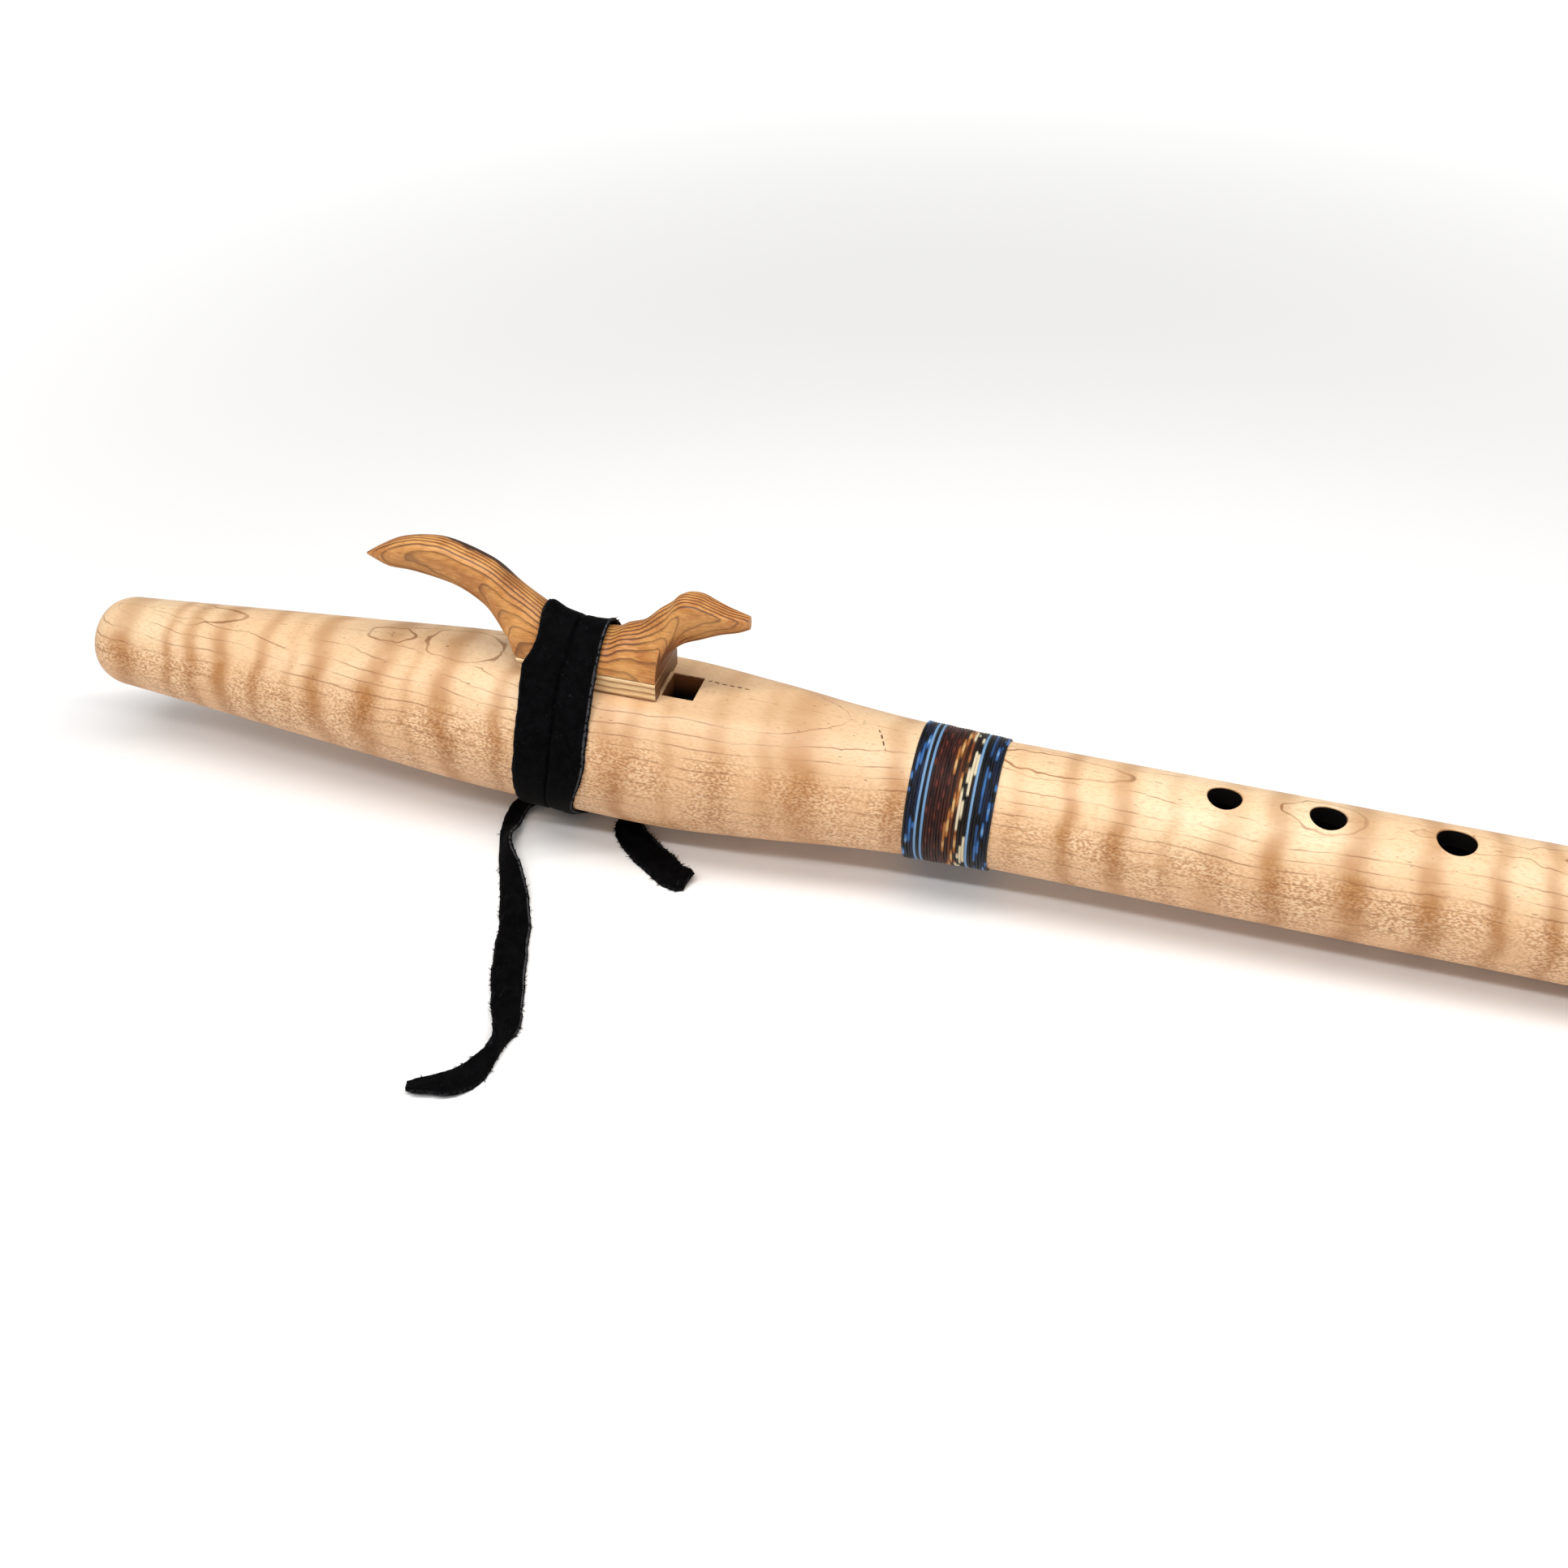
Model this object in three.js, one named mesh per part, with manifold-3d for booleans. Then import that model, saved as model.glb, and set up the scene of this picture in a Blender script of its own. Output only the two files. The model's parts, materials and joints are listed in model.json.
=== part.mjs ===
// A six-hole Native American style flute, lying on a table. Millimetres, +Z up.
// Two routed, book-matched maple halves are glued in the upright plane through the bore, so that the seam
// runs along the top through the finger holes. A carved block on a spacer plate lies over the flue,
// tied with a flat leather lace whose knot is under the flute, and a thread whipping binds the neck.
// The flute is modelled along X from its mouth end, with the sound chamber's axis at y = 0, z = 0.
// It is then tilted so that the knot and the foot end both touch the table, which is z = 0.
import * as THREE from 'three';
import { mergeVertices } from 'three/addons/utils/BufferGeometryUtils.js';
import Module from 'manifold-3d';

const wasm = await Module();
wasm.setup();

// Body
const fluteLength = 506.3;
const tubeDiameter = 32;
const boreDiameter = 22.2;
const bellyDiameter = 44;
const headLength = 249.8;
const headDroop = 1.5;
const mouthDiameter = 23;
const mouthFaceDiameter = 11.5;
const mouthRound = 9;
const footRound = 1.2;
const glueGap = 0.3;
const nestHeight = 18.2;

// Shares of the way from mouth to belly, and of the growth in radius on it
const mouthToBellyShares = [[0, 0], [0.161, 0.198], [0.315, 0.393], [0.499, 0.619], [0.683, 0.842], [0.857, 0.959]];
// Shares of the way from belly to the end of the head, and of the fall in radius that is still to come
const bellyToTubeShares = [[0, 1], [0.33, 0.68], [0.56, 0.34], [0.75, 0.14], [1, 0]];

// Air chamber, voicing and finger holes. The splitting edge is set from the mouth end, and the belly, block
// and lace are set from it.
const splittingEdge = 171.3;
const bellySetback = 10;
const soundHoleLength = 8.4;
const soundHoleWidth = 10;
const edgeUndercut = 7;
const dividerLength = 18;
const airExitLength = 7;
const airChamberStart = 22.3;
const airChamberDiameter = 19;
const breathHoleDiameter = 8;
const fingerHoleShares = [0.391, 0.463, 0.55, 0.642, 0.719, 0.803];
const fingerDiameterShares = [0.37, 0.387, 0.413, 0.42, 0.395, 0.36];

// Spacer plate and block
const seat = 0.3;
const plateThickness = 5;
const flueDepth = 1;
const flueSetback = 0.2;
const baseLength = 37;
const baseHalfWidth = 8.7;
const rearSlant = 2.4;
const baseWidthShares = [[0, 0.93], [0.25, 0.97], [0.6, 1], [1, 0.985]];
const tailReach = 42.2;
const tailHeight = 24.6;
const saddleHeight = 7.8;
const headReach = 22.2;
const headHeight = 21.6;
const blockForward = 0.8;
const blockBack = 2;

// Each row is one slice through the carving: top edge (x, z), bottom edge (x, z), half width, level of the
// widest place from -1 at the bottom to 1 at the top, and how boxy the slice is above and below that level
// (2 is an ellipse).
// Tail rows count x back from the base's rear end by tailReach and z by tailHeight.
const tailShares = [
  [0.998, 0.737, 0.99, 0.712, 0.05, 0, 2, 2],
  [0.893, 0.858, 0.83, 0.623, 0.26, 0.2, 2.6, 2],
  [0.751, 0.98, 0.723, 0.626, 0.38, 0.3, 2.6, 1.9],
  [0.524, 1.045, 0.452, 0.558, 0.46, 0.35, 2.6, 1.9],
  [0.211, 0.893, 0.24, 0.373, 0.53, 0.25, 2.6, 2],
  [0.038, 0.67, 0.096, 0.085, 0.68, -0.3, 2.4, 2.2],
];
// Back rows count x forward from the base's rear end by baseLength and z by saddleHeight.
const backShares = [
  [0.065, 1.74, 0, 0, 0.88, -1, 2.2, 2],
  [0.146, 1.47, 0.113, 0, 0.93, -1, 2, 2],
  [0.259, 1.13, 0.259, 0, 0.97, -1, 1.8, 2],
  [0.478, 0.99, 0.478, 0, 1, -1, 1.7, 2],
  [0.624, 1.03, 0.624, 0, 1, -1, 1.7, 2],
  [0.729, 1.3, 0.729, 0, 0.99, -1, 1.8, 2],
  [0.844, 1.57, 0.864, 0, 0.985, -1, 1.7, 2],
];
// Head rows count x forward from the base's front end by headReach and z by headHeight.
const headShares = [
  [-0.04, 0.79, 0, 0, 0.98, -1, 1.55, 2],
  [0.09, 0.9, 0.01, 0.14, 0.76, -0.85, 1.8, 2],
  [0.17, 0.98, 0.07, 0.22, 0.6, -0.35, 2.4, 1.9],
  [0.28, 1.01, 0.22, 0.36, 0.49, 0.45, 3.4, 1.7],
  [0.41, 0.998, 0.43, 0.463, 0.45, 0.7, 4, 1.7],
  [0.58, 0.936, 0.66, 0.575, 0.38, 0.72, 4, 1.7],
  [0.79, 0.882, 0.87, 0.652, 0.28, 0.7, 4, 1.8],
  [0.975, 0.87, 0.99, 0.72, 0.16, 0.4, 3, 2],
];
const slicesPerRow = 3;
const slicePoints = 24;

// Leather lace
const laceWidth = 7.6;
const laceThickness = 1.1;
const laceBevel = 0.5;
const laneGap = 0.5;
const wrapSetback = 42.6;
const wrapLean = 3.4;
const wrapSteps = 24;
const crossingAngle = 22.5;
const knotThickness = 4.6;
const knotLength = 16;
const knotWidth = 9.6;
const knotTurn = 12;
const carryingTurn = 118;
const tailWidth = 7.4;
const tailThickness = 1.5;

// Routes of the lace's free ends on the table, from the knot's centre, each point chosen by hand
const longTailRoute = [
  [-8.1, -1.7, 2.6], [-11, -2.4, 2.1], [-13.6, -5, 1.5], [-14.4, -9.6, 1], [-13.6, -15, 0.95],
  [-12.3, -21, 0.95],
  [-8.8, -28.5, 0.95], [-3.2, -38, 0.95], [1.2, -47.7, 0.95], [5, -59, 0.95], [8, -68.5, 0.95],
  [11.2, -76, 0.95], [14, -83.5, 0.95], [14.7, -90.5, 0.95], [12.5, -97, 0.95], [8, -101.6, 0.95],
  [3, -104.3, 0.95], [-1.2, -105.8, 0.95],
];
const shortTailRoute = [
  [8.1, 1.7, 2.6], [11.6, 2.45, 2.2], [15.3, 2.4, 1.7], [17.4, -0.8, 1.3], [18, -5.6, 1.05],
  [20, -10.4, 0.95], [23.8, -14.8, 0.95], [28.6, -18.6, 0.95], [33.6, -21.8, 1.15], [38.6, -23.6, 2.2],
];
const tailStep = 5;

// Thread whipping
const threadDiameter = 0.52;
const threadPitch = 0.96;
const whippingSetback = 21.3;
const blueHeadTurns = 5;
const brownTurns = 11;
const blueFootTurns = 6;
const turnSteps = 24;
const threadSides = 6;

// Smoothness of the round surfaces, and the overrun of every cutting solid
const bodySides = 40;
const bodyStations = 30;
const roundSteps = 4;
const boreSides = 32;
const holeSides = 20;
const overrun = 5;
const weldDistance = 1e-4;

const tubeRadius = tubeDiameter / 2;
const boreRadius = boreDiameter / 2;
const soundingLength = fluteLength - splittingEdge;
const bellyStation = splittingEdge - bellySetback;
const soundHoleRear = splittingEdge - soundHoleLength;
const airChamberEnd = soundHoleRear - dividerLength;
const blockFront = soundHoleRear - flueSetback;
const blockRear = blockFront - baseLength;
const plateBottom = nestHeight + seat;
const blockBottom = plateBottom + plateThickness + seat;
const wrapPitch = laceWidth + laneGap;
const wrapStation = splittingEdge - wrapSetback;
const knotStation = wrapStation + laceWidth + laneGap / 2;
const whippingStation = headLength - whippingSetback;

// The smooth curve through rows of [place, value], with no overshoot between two rows
function through(rows, place) {
  const last = rows.length - 1;
  const slope = (i) => (rows[i + 1][1] - rows[i][1]) / (rows[i + 1][0] - rows[i][0]);
  const tangent = (i) => {
    if (i === 0) return slope(0);
    if (i === last) return slope(last - 1);
    const before = slope(i - 1);
    const after = slope(i);
    return before * after <= 0 ? 0 : (2 * before * after) / (before + after);
  };
  let i = 0;
  while (i < last - 1 && place > rows[i + 1][0]) i += 1;
  const span = rows[i + 1][0] - rows[i][0];
  const t = THREE.MathUtils.clamp((place - rows[i][0]) / span, 0, 1);
  const rise = rows[i + 1][1] - rows[i][1];
  const ease = t * t * (3 - 2 * t);
  const leave = t * (1 - t) * (1 - t) * span * tangent(i);
  const arrive = t * t * (t - 1) * span * tangent(i + 1);
  return rows[i][1] + rise * ease + leave + arrive;
}

// A closed solid through rings of equally many points, flat at both ends
function loft(rings) {
  const count = rings[0].length;
  const points = rings.flat();
  const faces = [];
  for (let i = 0; i < rings.length - 1; i += 1) {
    for (let j = 0; j < count; j += 1) {
      const a = i * count + j;
      const b = i * count + ((j + 1) % count);
      faces.push(a, b, a + count, b, b + count, a + count);
    }
  }
  const start = points.length;
  points.push(middle(rings[0]), middle(rings.at(-1)));
  const lastRing = (rings.length - 1) * count;
  for (let j = 0; j < count; j += 1) {
    const next = (j + 1) % count;
    faces.push(start, next, j, start + 1, lastRing + j, lastRing + next);
  }
  return outward(points, faces);
}

function middle(ring) {
  const sum = new THREE.Vector3();
  for (const point of ring) sum.add(point);
  return sum.divideScalar(ring.length);
}

// A geometry from points and faces, turned so that its volume is positive
function outward(points, faces) {
  let volume = 0;
  for (let i = 0; i < faces.length; i += 3) {
    const [a, b, c] = [points[faces[i]], points[faces[i + 1]], points[faces[i + 2]]];
    volume += a.dot(new THREE.Vector3().crossVectors(b, c));
  }
  const geometry = new THREE.BufferGeometry().setFromPoints(points);
  geometry.setIndex(volume > 0 ? faces : faces.reverse());
  return geometry;
}

// Solids for cutting and joining, and back
function solid(geometry) {
  const plain = new THREE.BufferGeometry();
  plain.setAttribute('position', geometry.getAttribute('position'));
  plain.setIndex(geometry.index);
  const merged = mergeVertices(plain, weldDistance);
  const vertProperties = new Float32Array(merged.getAttribute('position').array);
  const triVerts = new Uint32Array(merged.index.array);
  return new wasm.Manifold(new wasm.Mesh({ numProp: 3, vertProperties, triVerts }));
}

function surface(manifold) {
  const mesh = manifold.getMesh();
  const geometry = new THREE.BufferGeometry();
  geometry.setAttribute('position', new THREE.BufferAttribute(mesh.vertProperties, mesh.numProp));
  geometry.setIndex(new THREE.BufferAttribute(mesh.triVerts, 1));
  return geometry;
}

function box(x0, x1, halfWidth, z0, z1) {
  const geometry = new THREE.BoxGeometry(x1 - x0, 2 * halfWidth, z1 - z0);
  return solid(geometry.translate((x0 + x1) / 2, 0, (z0 + z1) / 2));
}

// Outer radius of the body, and the height of its centre, at a distance from the mouth end
const mouthRows = mouthToBellyShares.map(([along, grown]) => [
  along * bellyStation,
  mouthDiameter / 2 + (grown * (bellyDiameter - mouthDiameter)) / 2,
]);
const neckRows = bellyToTubeShares.map(([along, left]) => [
  bellyStation + along * (headLength - bellyStation),
  tubeRadius + (left * (bellyDiameter - tubeDiameter)) / 2,
]);

function bodyRadius(x) {
  return x >= headLength ? tubeRadius : through([...mouthRows, ...neckRows], x);
}

function bodyCentre(x) {
  return -headDroop * Math.max(0, 1 - x / whippingStation);
}

function bodyRing(x, radius) {
  const ring = [];
  for (let j = 0; j < bodySides; j += 1) {
    const angle = (2 * Math.PI * (j + 0.5)) / bodySides;
    ring.push(new THREE.Vector3(x, radius * Math.cos(angle), bodyCentre(x) + radius * Math.sin(angle)));
  }
  return ring;
}

// The whole body outside, from the rounded mouth end to the foot
function bodyOutside() {
  const rings = [];
  const faceRadius = mouthFaceDiameter / 2;
  const shoulder = bodyRadius(mouthRound);
  for (let i = 0; i < roundSteps; i += 1) {
    const turn = (i / roundSteps) * (Math.PI / 2);
    const radius = faceRadius + (shoulder - faceRadius) * Math.sin(turn);
    rings.push(bodyRing(mouthRound * (1 - Math.cos(turn)), radius));
  }
  for (let i = 0; i <= bodyStations; i += 1) {
    const x = mouthRound + ((headLength - mouthRound) * i) / bodyStations;
    rings.push(bodyRing(x, bodyRadius(x)));
  }
  rings.push(bodyRing(fluteLength - footRound, tubeRadius));
  rings.push(bodyRing(fluteLength, tubeRadius - footRound));
  return solid(loft(rings));
}

// A round chamber along X, with domed ends where it was routed
function chamber(start, end, radius, startDome, endDome) {
  const profile = [];
  for (let i = 0; i <= roundSteps; i += 1) {
    const turn = (i / roundSteps) * (Math.PI / 2);
    profile.push(new THREE.Vector2(radius * Math.sin(turn), start + startDome * (1 - Math.cos(turn))));
  }
  for (let i = roundSteps; i >= 0; i -= 1) {
    const turn = (i / roundSteps) * (Math.PI / 2);
    profile.push(new THREE.Vector2(radius * Math.sin(turn), end - endDome * (1 - Math.cos(turn))));
  }
  return solid(new THREE.LatheGeometry(profile, boreSides).rotateZ(-Math.PI / 2));
}

// A plain round hole along X or along Z
function holeAlongX(start, end, radius, z) {
  const geometry = new THREE.CylinderGeometry(radius, radius, end - start, holeSides).rotateZ(Math.PI / 2);
  return solid(geometry.translate((start + end) / 2, 0, z));
}

function holeAlongZ(x, radius, top) {
  const geometry = new THREE.CylinderGeometry(radius, radius, top, holeSides).rotateX(Math.PI / 2);
  return solid(geometry.translate(x, 0, top / 2));
}

// The sound hole: a straight shaft whose foot side slopes away below the splitting edge
function soundHole() {
  const top = nestHeight + overrun;
  const side = new THREE.Shape();
  side.moveTo(soundHoleRear, 0);
  side.lineTo(splittingEdge + edgeUndercut, 0);
  side.lineTo(splittingEdge + edgeUndercut, boreRadius / 2);
  side.lineTo(splittingEdge, nestHeight);
  side.lineTo(splittingEdge, top);
  side.lineTo(soundHoleRear, top);
  const geometry = new THREE.ExtrudeGeometry(side, { depth: soundHoleWidth, bevelEnabled: false });
  return solid(geometry.rotateX(Math.PI / 2).translate(0, soundHoleWidth / 2, 0));
}

function bodySolid() {
  const airRadius = airChamberDiameter / 2;
  const nest = box(0, headLength, bellyDiameter, nestHeight, bellyDiameter);
  const airExit = box(airChamberEnd - airExitLength, airChamberEnd, soundHoleWidth / 2, 0, bellyDiameter);
  const foot = fluteLength + overrun;
  let body = bodyOutside()
    .subtract(nest)
    .subtract(airExit)
    .subtract(holeAlongX(-overrun, airChamberStart + airRadius, breathHoleDiameter / 2, -headDroop))
    .subtract(chamber(airChamberStart, airChamberEnd, airRadius, airRadius, 0))
    .subtract(chamber(soundHoleRear, foot, boreRadius, 0, 0))
    .subtract(soundHole());
  fingerHoleShares.forEach((share, i) => {
    const radius = (fingerDiameterShares[i] * boreDiameter) / 2;
    body = body.subtract(holeAlongZ(splittingEdge + share * soundingLength, radius, tubeDiameter));
  });
  return body;
}

// The glue seam runs upright along the axis: each half keeps what lies on its own side of it
function bodyHalf(body, side) {
  const keep = new THREE.BoxGeometry(fluteLength + 2 * overrun, bellyDiameter, 2 * bellyDiameter);
  keep.translate(fluteLength / 2, (side * (bellyDiameter + glueGap)) / 2, 0);
  return surface(body.intersect(solid(keep)));
}

// Half width of the plate, and of the block's foot, at a share of the way from rear to front
function baseWidth(share) {
  return baseHalfWidth * through(baseWidthShares, share);
}

function plateRing(share) {
  const top = blockRear + baseLength * share;
  const bottom = blockRear + rearSlant + (baseLength - rearSlant) * share;
  const width = baseWidth(share);
  return [
    new THREE.Vector3(bottom, -width, plateBottom),
    new THREE.Vector3(bottom, width, plateBottom),
    new THREE.Vector3(top, width, plateBottom + plateThickness),
    new THREE.Vector3(top, -width, plateBottom + plateThickness),
  ];
}

function spacerPlate() {
  const rings = [];
  for (let i = 0; i <= roundSteps * 2; i += 1) rings.push(plateRing(i / (roundSteps * 2)));
  const flueStart = airChamberEnd - airExitLength;
  const flue = box(flueStart, blockFront + overrun, soundHoleWidth / 2, 0, plateBottom + flueDepth);
  return surface(solid(loft(rings)).subtract(flue));
}

// The carving's slices in millimetres: [top x, top z, bottom x, bottom z, half width, widest, boxy, boxy]
function blockRows() {
  const rows = [];
  const add = (row, from, reach, height) => {
    const [topX, topZ, bottomX, bottomZ, width, widest, boxyAbove, boxyBelow] = row;
    const top = [from + reach * topX, blockBottom + height * topZ];
    const bottom = [from + reach * bottomX, blockBottom + height * bottomZ];
    rows.push([...top, ...bottom, baseHalfWidth * width, widest, boxyAbove, boxyBelow]);
  };
  for (const row of tailShares) add(row, blockRear, -tailReach, tailHeight);
  for (const row of backShares) add(row, blockRear, baseLength, saddleHeight);
  for (const row of headShares) add(row, blockFront, headReach, headHeight);
  return rows;
}

function power(value, exponent) {
  return Math.sign(value) * Math.abs(value) ** exponent;
}

// One slice: a superellipse between the top and bottom edges, whose widest level can lie high or low
function blockSlice(rows, place) {
  const value = (column) => through(rows.map((row, i) => [i, row[column]]), place);
  const [topX, topZ, bottomX, bottomZ, width, widest, boxyAbove, boxyBelow] = rows[0].map((_, i) => value(i));
  const ring = [];
  for (let j = 0; j < slicePoints; j += 1) {
    const angle = (2 * Math.PI * (j + 0.5)) / slicePoints;
    const boxiness = Math.sin(angle) > 0 ? boxyAbove : boxyBelow;
    const out = power(Math.cos(angle), 2 / boxiness);
    const up = power(Math.sin(angle), 2 / boxiness);
    const level = widest + up * (up > 0 ? 1 - widest : 1 + widest);
    const t = (level + 1) / 2;
    const [x, z] = [THREE.MathUtils.lerp(bottomX, topX, t), THREE.MathUtils.lerp(bottomZ, topZ, t)];
    ring.push(new THREE.Vector3(x, width * out, z));
  }
  return ring;
}

function carvedBlock() {
  const rows = blockRows();
  const rings = [];
  const slices = (rows.length - 1) * slicesPerRow;
  for (let i = 0; i <= slices; i += 1) rings.push(blockSlice(rows, i / slicesPerRow));
  return loft(rings);
}

// Points of the body, plate and block near one station, which a taut lace there has to go round
function stationPoints(x, pieces) {
  const points = [];
  const [radius, centre] = [bodyRadius(x), bodyCentre(x)];
  for (let j = 0; j < bodySides; j += 1) {
    const angle = (2 * Math.PI * j) / bodySides;
    points.push([radius * Math.cos(angle), Math.min(nestHeight, centre + radius * Math.sin(angle))]);
  }
  const slice = baseLength / (backShares.length * slicesPerRow) / 2;
  for (const piece of pieces) {
    const position = piece.getAttribute('position');
    for (let i = 0; i < position.count; i += 1) {
      const ahead = position.getX(i) - x;
      const passes = ahead > -blockForward - slice && ahead < blockBack + slice;
      if (passes) points.push([position.getY(i), position.getZ(i)]);
    }
  }
  return points;
}

// Where a taut lace bends between two of its straight runs, lifted off what it goes round
function tautCorner(points, angle, half, lift) {
  const reach = (a) => lift + Math.max(...points.map(([y, z]) => y * Math.cos(a) + z * Math.sin(a)));
  const [a, b] = [angle - half, angle + half];
  const [ra, rb] = [reach(a), reach(b)];
  const y = (ra * Math.sin(b) - rb * Math.sin(a)) / Math.sin(b - a);
  const z = (rb * Math.cos(a) - ra * Math.cos(b)) / Math.sin(b - a);
  return [y, z];
}

// The lace's section: flat against the flute, with its outer edges bevelled. [along X, outward]
function laceSection(width, thickness) {
  const side = width / 2;
  return [
    [-side, 0], [side, 0], [side, thickness - laceBevel],
    [side - laceBevel, thickness], [laceBevel - side, thickness], [-side, thickness - laceBevel],
  ];
}

// Two flat turns: up the far side, over the block, down the near side, and across to the next lane below
function laceRings(pieces, width, thickness, lift, extra) {
  const step = (2 * Math.PI) / wrapSteps;
  const crossing = THREE.MathUtils.degToRad(crossingAngle);
  const turned = 4 * Math.PI - 2 * crossing;
  const rings = [];
  for (let travelled = 0; travelled <= turned + step / 2; travelled += step) {
    const around = travelled + crossing;
    const change = THREE.MathUtils.smoothstep(around, 2 * Math.PI - crossing, 2 * Math.PI + crossing);
    const angle = around - Math.PI / 2;
    const lean = wrapLean * THREE.MathUtils.smoothstep(Math.sin(angle), 0.5, 1);
    const x = wrapStation + laceWidth / 2 + change * wrapPitch + lean;
    rings.push(laceSection(width, thickness).map(([along, out]) => {
      const points = stationPoints(x + along, pieces);
      const [y, z] = tautCorner(points, angle, step / 2, lift + out);
      return new THREE.Vector3(x + along, y, z);
    }));
  }
  return straightEnds(rings, extra);
}

// A straight run at each end of a winding, square to its last ring
function straightEnds(rings, length) {
  const extend = (ring, inner) => {
    const run = middle(ring).sub(middle(inner)).setLength(length);
    return ring.map((point) => point.clone().add(run));
  };
  return [extend(rings[0], rings[1]), ...rings, extend(rings.at(-1), rings.at(-2))];
}

// The least distance between points of a winding that are at least half a turn apart
function leastGap(rings, stepsPerTurn) {
  let least = Infinity;
  for (let i = 0; i < rings.length; i += 1) {
    for (let k = i + stepsPerTurn / 2; k < rings.length; k += 1) {
      for (const a of rings[i]) for (const b of rings[k]) least = Math.min(least, a.distanceTo(b));
    }
  }
  return least;
}

function strapWrap(pieces) {
  const rings = laceRings(pieces, laceWidth, laceThickness, seat, laceThickness);
  console.log(`strap_wrap least gap ${leastGap(rings, wrapSteps).toFixed(2)} mm`);
  return loft(rings);
}

// The table seen from the tilted flute: its height below the axis at the knot, and its slope
const knotDepth = bodyRadius(knotStation) - bodyCentre(knotStation) + seat + laceThickness + knotThickness;
const tilt = Math.atan((knotDepth - tubeRadius) / (fluteLength - footRound - knotStation));

// One pressed pass of the lace in the knot: a flat-ended pillow along its own length
function knotPass(length, width, lowest, highest, turn) {
  const rings = [];
  const steps = roundSteps * 2;
  for (let i = 0; i <= steps; i += 1) {
    const s = (2 * i) / steps - 1;
    const swell = 0.84 + 0.16 * Math.cos((s * Math.PI) / 2);
    const ring = [];
    for (let j = 0; j < slicePoints / 2; j += 1) {
      const angle = (4 * Math.PI * (j + 0.5)) / slicePoints;
      const y = (width / 2) * swell * power(Math.cos(angle), 2 / 3);
      const z = ((highest - lowest) / 2) * swell * power(Math.sin(angle), 2 / 3);
      ring.push(new THREE.Vector3((s * length) / 2, y, (highest + lowest) / 2 + z));
    }
    rings.push(ring);
  }
  return solid(loft(rings).rotateZ(THREE.MathUtils.degToRad(turn)).translate(knotStation, 0, 0));
}

// The knot: two crossing passes under the flute, hollowed where the wrap lies, flat on the table
function strapKnot() {
  const table = -knotDepth;
  const top = table + knotThickness;
  const carrying = knotPass(knotLength + wrapPitch / 2, knotWidth, table - seat, top + seat, carryingTurn);
  const tails = knotPass(knotLength, knotWidth, table - seat, top - laceThickness, knotTurn);
  const wrapCorner = 1 / Math.cos(Math.PI / wrapSteps);
  const wrapSpace = [];
  for (let i = -1; i <= 1; i += 1) {
    const x = knotStation + i * knotLength;
    wrapSpace.push(bodyRing(x, (bodyRadius(x) + seat + laceThickness) * wrapCorner + seat));
  }
  const below = new THREE.BoxGeometry(4 * knotLength, 4 * knotLength, knotLength);
  below.translate(0, 0, -knotLength / 2).rotateY(-tilt).translate(knotStation, 0, table);
  const knot = carrying.add(tails).subtract(solid(loft(wrapSpace)));
  return surface(largest(knot.subtract(solid(below))));
}

// The largest separate body of a solid, without the crumbs that a cut leaves
function largest(manifold) {
  return manifold.decompose().reduce((a, b) => (a.volume() > b.volume() ? a : b));
}

// A route that keeps a flat section level: its frames have one side as near to upright as they can
class LevelRoute extends THREE.CatmullRomCurve3 {
  computeFrenetFrames(segments) {
    const frames = { tangents: [], normals: [], binormals: [] };
    for (let i = 0; i <= segments; i += 1) {
      const tangent = this.getTangentAt(i / segments);
      const level = new THREE.Vector3(-tangent.y, tangent.x, 0).normalize();
      frames.tangents.push(tangent);
      frames.binormals.push(level);
      frames.normals.push(new THREE.Vector3().crossVectors(level, tangent));
    }
    return frames;
  }
}

// A free end of the lace: its flat section along a route on the table
function laceEnd(name, route) {
  const curve = new LevelRoute(route.map((point) => new THREE.Vector3(...point)));
  const length = curve.getLength();
  console.log(`${name} length ${length.toFixed(1)} mm`);
  const [thin, wide, bevel] = [tailThickness / 2, tailWidth / 2, tailThickness / 4];
  const corners = [[thin, wide - bevel], [thin - bevel, wide], [bevel - thin, wide], [-thin, wide - bevel]];
  const mirrored = corners.map(([up, across]) => [up, -across]).reverse();
  const section = new THREE.Shape([...corners, ...mirrored].map((point) => new THREE.Vector2(...point)));
  const steps = Math.round(length / tailStep);
  return new THREE.ExtrudeGeometry(section, { steps, bevelEnabled: false, extrudePath: curve });
}

// One thread winding: a helix on the body, with one straight diameter at each end.
// It stops a step short of its last turn, which leaves room for the next winding's start.
function threadWinding(name, firstTurn, turns) {
  const rings = [];
  for (let i = 0; i < turns * turnSteps; i += 1) {
    const angle = (2 * Math.PI * i) / turnSteps;
    const x = whippingStation + (firstTurn + i / turnSteps) * threadPitch;
    const middleRadius = bodyRadius(x) + seat + threadDiameter / 2;
    const ring = [];
    for (let j = 0; j < threadSides; j += 1) {
      const side = (2 * Math.PI * (j + 0.5)) / threadSides;
      const radius = middleRadius + (threadDiameter / 2) * Math.cos(side);
      const y = radius * Math.sin(angle);
      const z = bodyCentre(x) - radius * Math.cos(angle);
      ring.push(new THREE.Vector3(x + (threadDiameter / 2) * Math.sin(side), y, z));
    }
    rings.push(ring);
  }
  const winding = straightEnds(rings, threadDiameter);
  console.log(`${name} least gap ${leastGap(winding, turnSteps).toFixed(2)} mm`);
  return loft(winding);
}

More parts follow.
